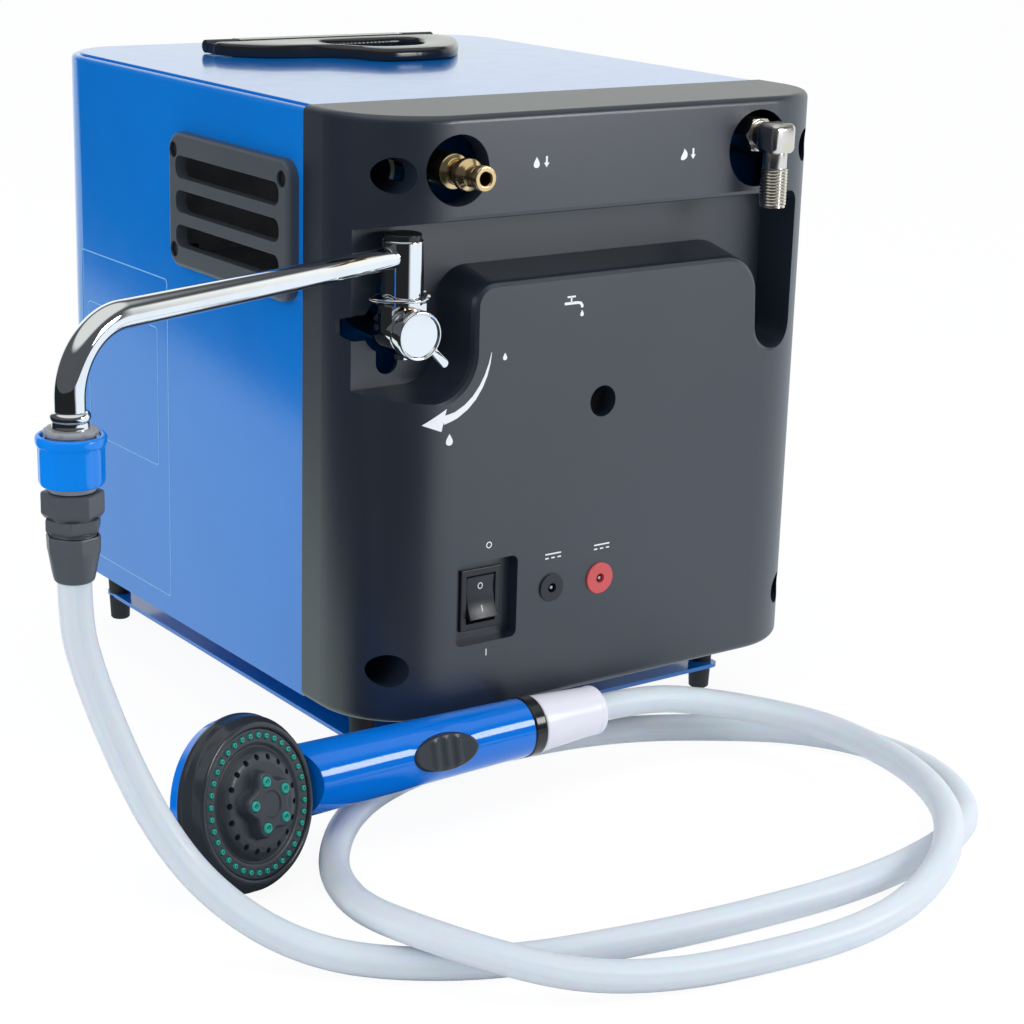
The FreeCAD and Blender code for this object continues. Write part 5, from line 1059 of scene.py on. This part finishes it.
def make_spray_ring():
    """Stepped bezel with a small grip lug on its side."""
    profile = eased([(38.2, 7), (38.2, 0.4), (46, 0.4), (46, 3.4), (45.2, 4.2), (44.6, 8.9),
                     (41.6, 13.4), (40.6, 14), (38.9, 14), (38.2, 13.3), (38.2, 7)], 1.2, 4)[:-1]
    profile.append(profile[0])

    def lug(angle, r, h, _):
        off = min(math.degrees(angle), 360 - math.degrees(angle))
        return (r + within(1 - (off / 7.0) ** 4) * 0.9 if r > 44.0 else r), h
    Shape().turned(profile, FACE_PLACE, 180, lug).made(
        "spray_bezel", RING, "spray_face", "black_gloss", "spray_ring")


def make_nozzle_plate():
    """Domed plate with a round groove, a five-lobed core, fine holes and nozzle seats."""
    profile = [(0, 0.4), (38.15, 0.4), (38.15, 12.4)]
    profile += eased([(38.15, 12.4), (37.6, 13), (31.0, 13), (29.3, 11.4), (27.8, 13.0),
                      (26.6, 14.9), (24.2, 16.2), (21.4, 16.7), (19.2, 16.6)], 0.7, 3)[1:]
    lobed = len(profile)
    profile += eased([(17.8, 16.6), (17.2, 18.0), (16.8, 21.4), (15.9, 22.5), (13.0, 22.5),
                      (9.0, 22.5)], 0.8, 3)
    last = len(profile)
    profile += [(7.2, 22.5), (6.4, 21.8), (4.0, 21.7), (1.5, 21.7), (0, 21.7)]

    def lobes(angle, r, h, index):
        if lobed <= index < last:
            share = within((r - 8.0) / 6.0)
            return r + share * (-1.6 + 2.4 * math.cos(5 * (angle - math.radians(FIVE_TURN)))), h
        return r, h
    mesh = Shape().turned(profile, FACE_PLACE, 180, lobes).mesh("nozzle_plate_domed")
    cutter = Shape()
    for place in ring_places(FACE_PLACE, *FINE_HOLES, 10):
        cutter.turned([(0, 12.5), (1.1, 12.5), (1.6, 15.2), (1.6, 20), (0, 20)], place, 16)
    for place in ring_places(FACE_PLACE, *SMALL_NOZZLES):
        cutter.turned([(0, 10.1), (1.75, 10.1), (1.75, 12.4), (2.1, 14), (0, 14)], place, 16)
    for place in ring_places(FACE_PLACE, *LARGE_NOZZLES, FIVE_TURN):
        cutter.turned([(0, 19.6), (3.0, 19.6), (3.0, 22.0), (3.4, 24), (0, 24)], place, 24)
    mesh = cut_away("nozzle_plate_domed", mesh, cutter.mesh("nozzle_seats"))
    piece("spray_plate", mesh, FACE, "spray_face", "nozzle_plate")


def make_nozzles():
    """Soft nozzles with round shoulders and a hole in each tip."""
    outer = [(0, 10.05), (1.5, 10.05), (1.5, 13.5), (1.25, 14.05), (0.9, 14.2), (0.6, 14.15),
             (0.5, 13.6), (0.45, 12.6), (0, 12.6)]
    shape = Shape()
    for place in ring_places(FACE_PLACE, *SMALL_NOZZLES):
        shape.turned(outer, place, 16)
    shape.made("outer_nozzle_tips", TEAL, "spray_face", "teal_rubber", "outer_nozzles")
    inner = eased([(0, 19.55), (2.8, 19.55), (2.8, 22.9), (2.3, 23.7), (1.5, 23.7), (1.3, 22.9),
                   (0.7, 22.7), (0.6, 21.4), (0, 21.4)], 0.4, 3)
    shape = Shape()
    for place in ring_places(FACE_PLACE, *LARGE_NOZZLES, FIVE_TURN):
        shape.turned(inner, place, 28)
    shape.made("inner_nozzle_tips", TEAL, "spray_face", "teal_rubber", "inner_nozzles")


def make_button():
    """Oval thumb button that follows the grip, with three soft ridges across it."""
    middle, long, short, pitch = 127.5, 20.4, 10.0, 7.2
    top = []
    for q in [1.0, 0.985, 0.95] + [0.95 - 0.05 * k for k in range(1, 19)]:
        row = []
        for angle in turns(96):
            x, y = long * q * math.cos(angle), short * q * math.sin(angle)
            edge = within((1.0 - q) / 0.22)
            ridge = (0.5 + 0.5 * math.cos(2 * math.pi * x / pitch)) * edge * (abs(x) < 11)
            round_edge = 0.9 * (1 - within((1.0 - q) / 0.05)) ** 2
            z = 20.0 - 0.9 * (y / short) ** 2 - round_edge - 0.9 * (1 - q * q) + 0.8 * ridge
            row.append((middle + x, y, z))
        top.append(row)
    shape = Shape()
    walls = [[(x, y, 10.1) for x, y, _ in top[0]]] + top
    rings = [[shape.vertex(SHOWER @ Vector(p)) for p in row] for row in walls]
    shape.skin(rings)
    for ring in (rings[0], rings[-1]):
        shape.build.faces.new(ring)
    shape.made("thumb_button", FACE, "grip_button", "black_gloss", "handset_button")


def make_coupling():
    """Tapered white socket with a fine step near its mouth and a round lip."""
    profile = eased([(0, 197.2), (15.6, 197.2), (16.2, 198.2), (15.3, 214), (14.4, 230),
                     (14.0, 237.5), (14.3, 238.3), (14.2, 240.8), (13.2, 242.0), (9.6, 242.0),
                     (9.0, 241.4), (0, 241.4)], 0.9, 4)
    Shape().turned(profile, GRIP_PLACE, 72).made(
        "shower_coupling", WHITE, "root", "white_plastic", "hose_coupling")


make_handle()
make_inlet_edge()
make_spout()
make_post_clip()
make_flow_knob()
make_insert()
make_collar()
make_adapter()
make_clamp_nut()
make_water_tail()
make_gas_elbow()
make_gas_nut()
make_rocker()
make_marks()
make_side_frames()
make_spray_ring()
make_nozzle_plate()
make_nozzles()
make_button()
make_coupling()
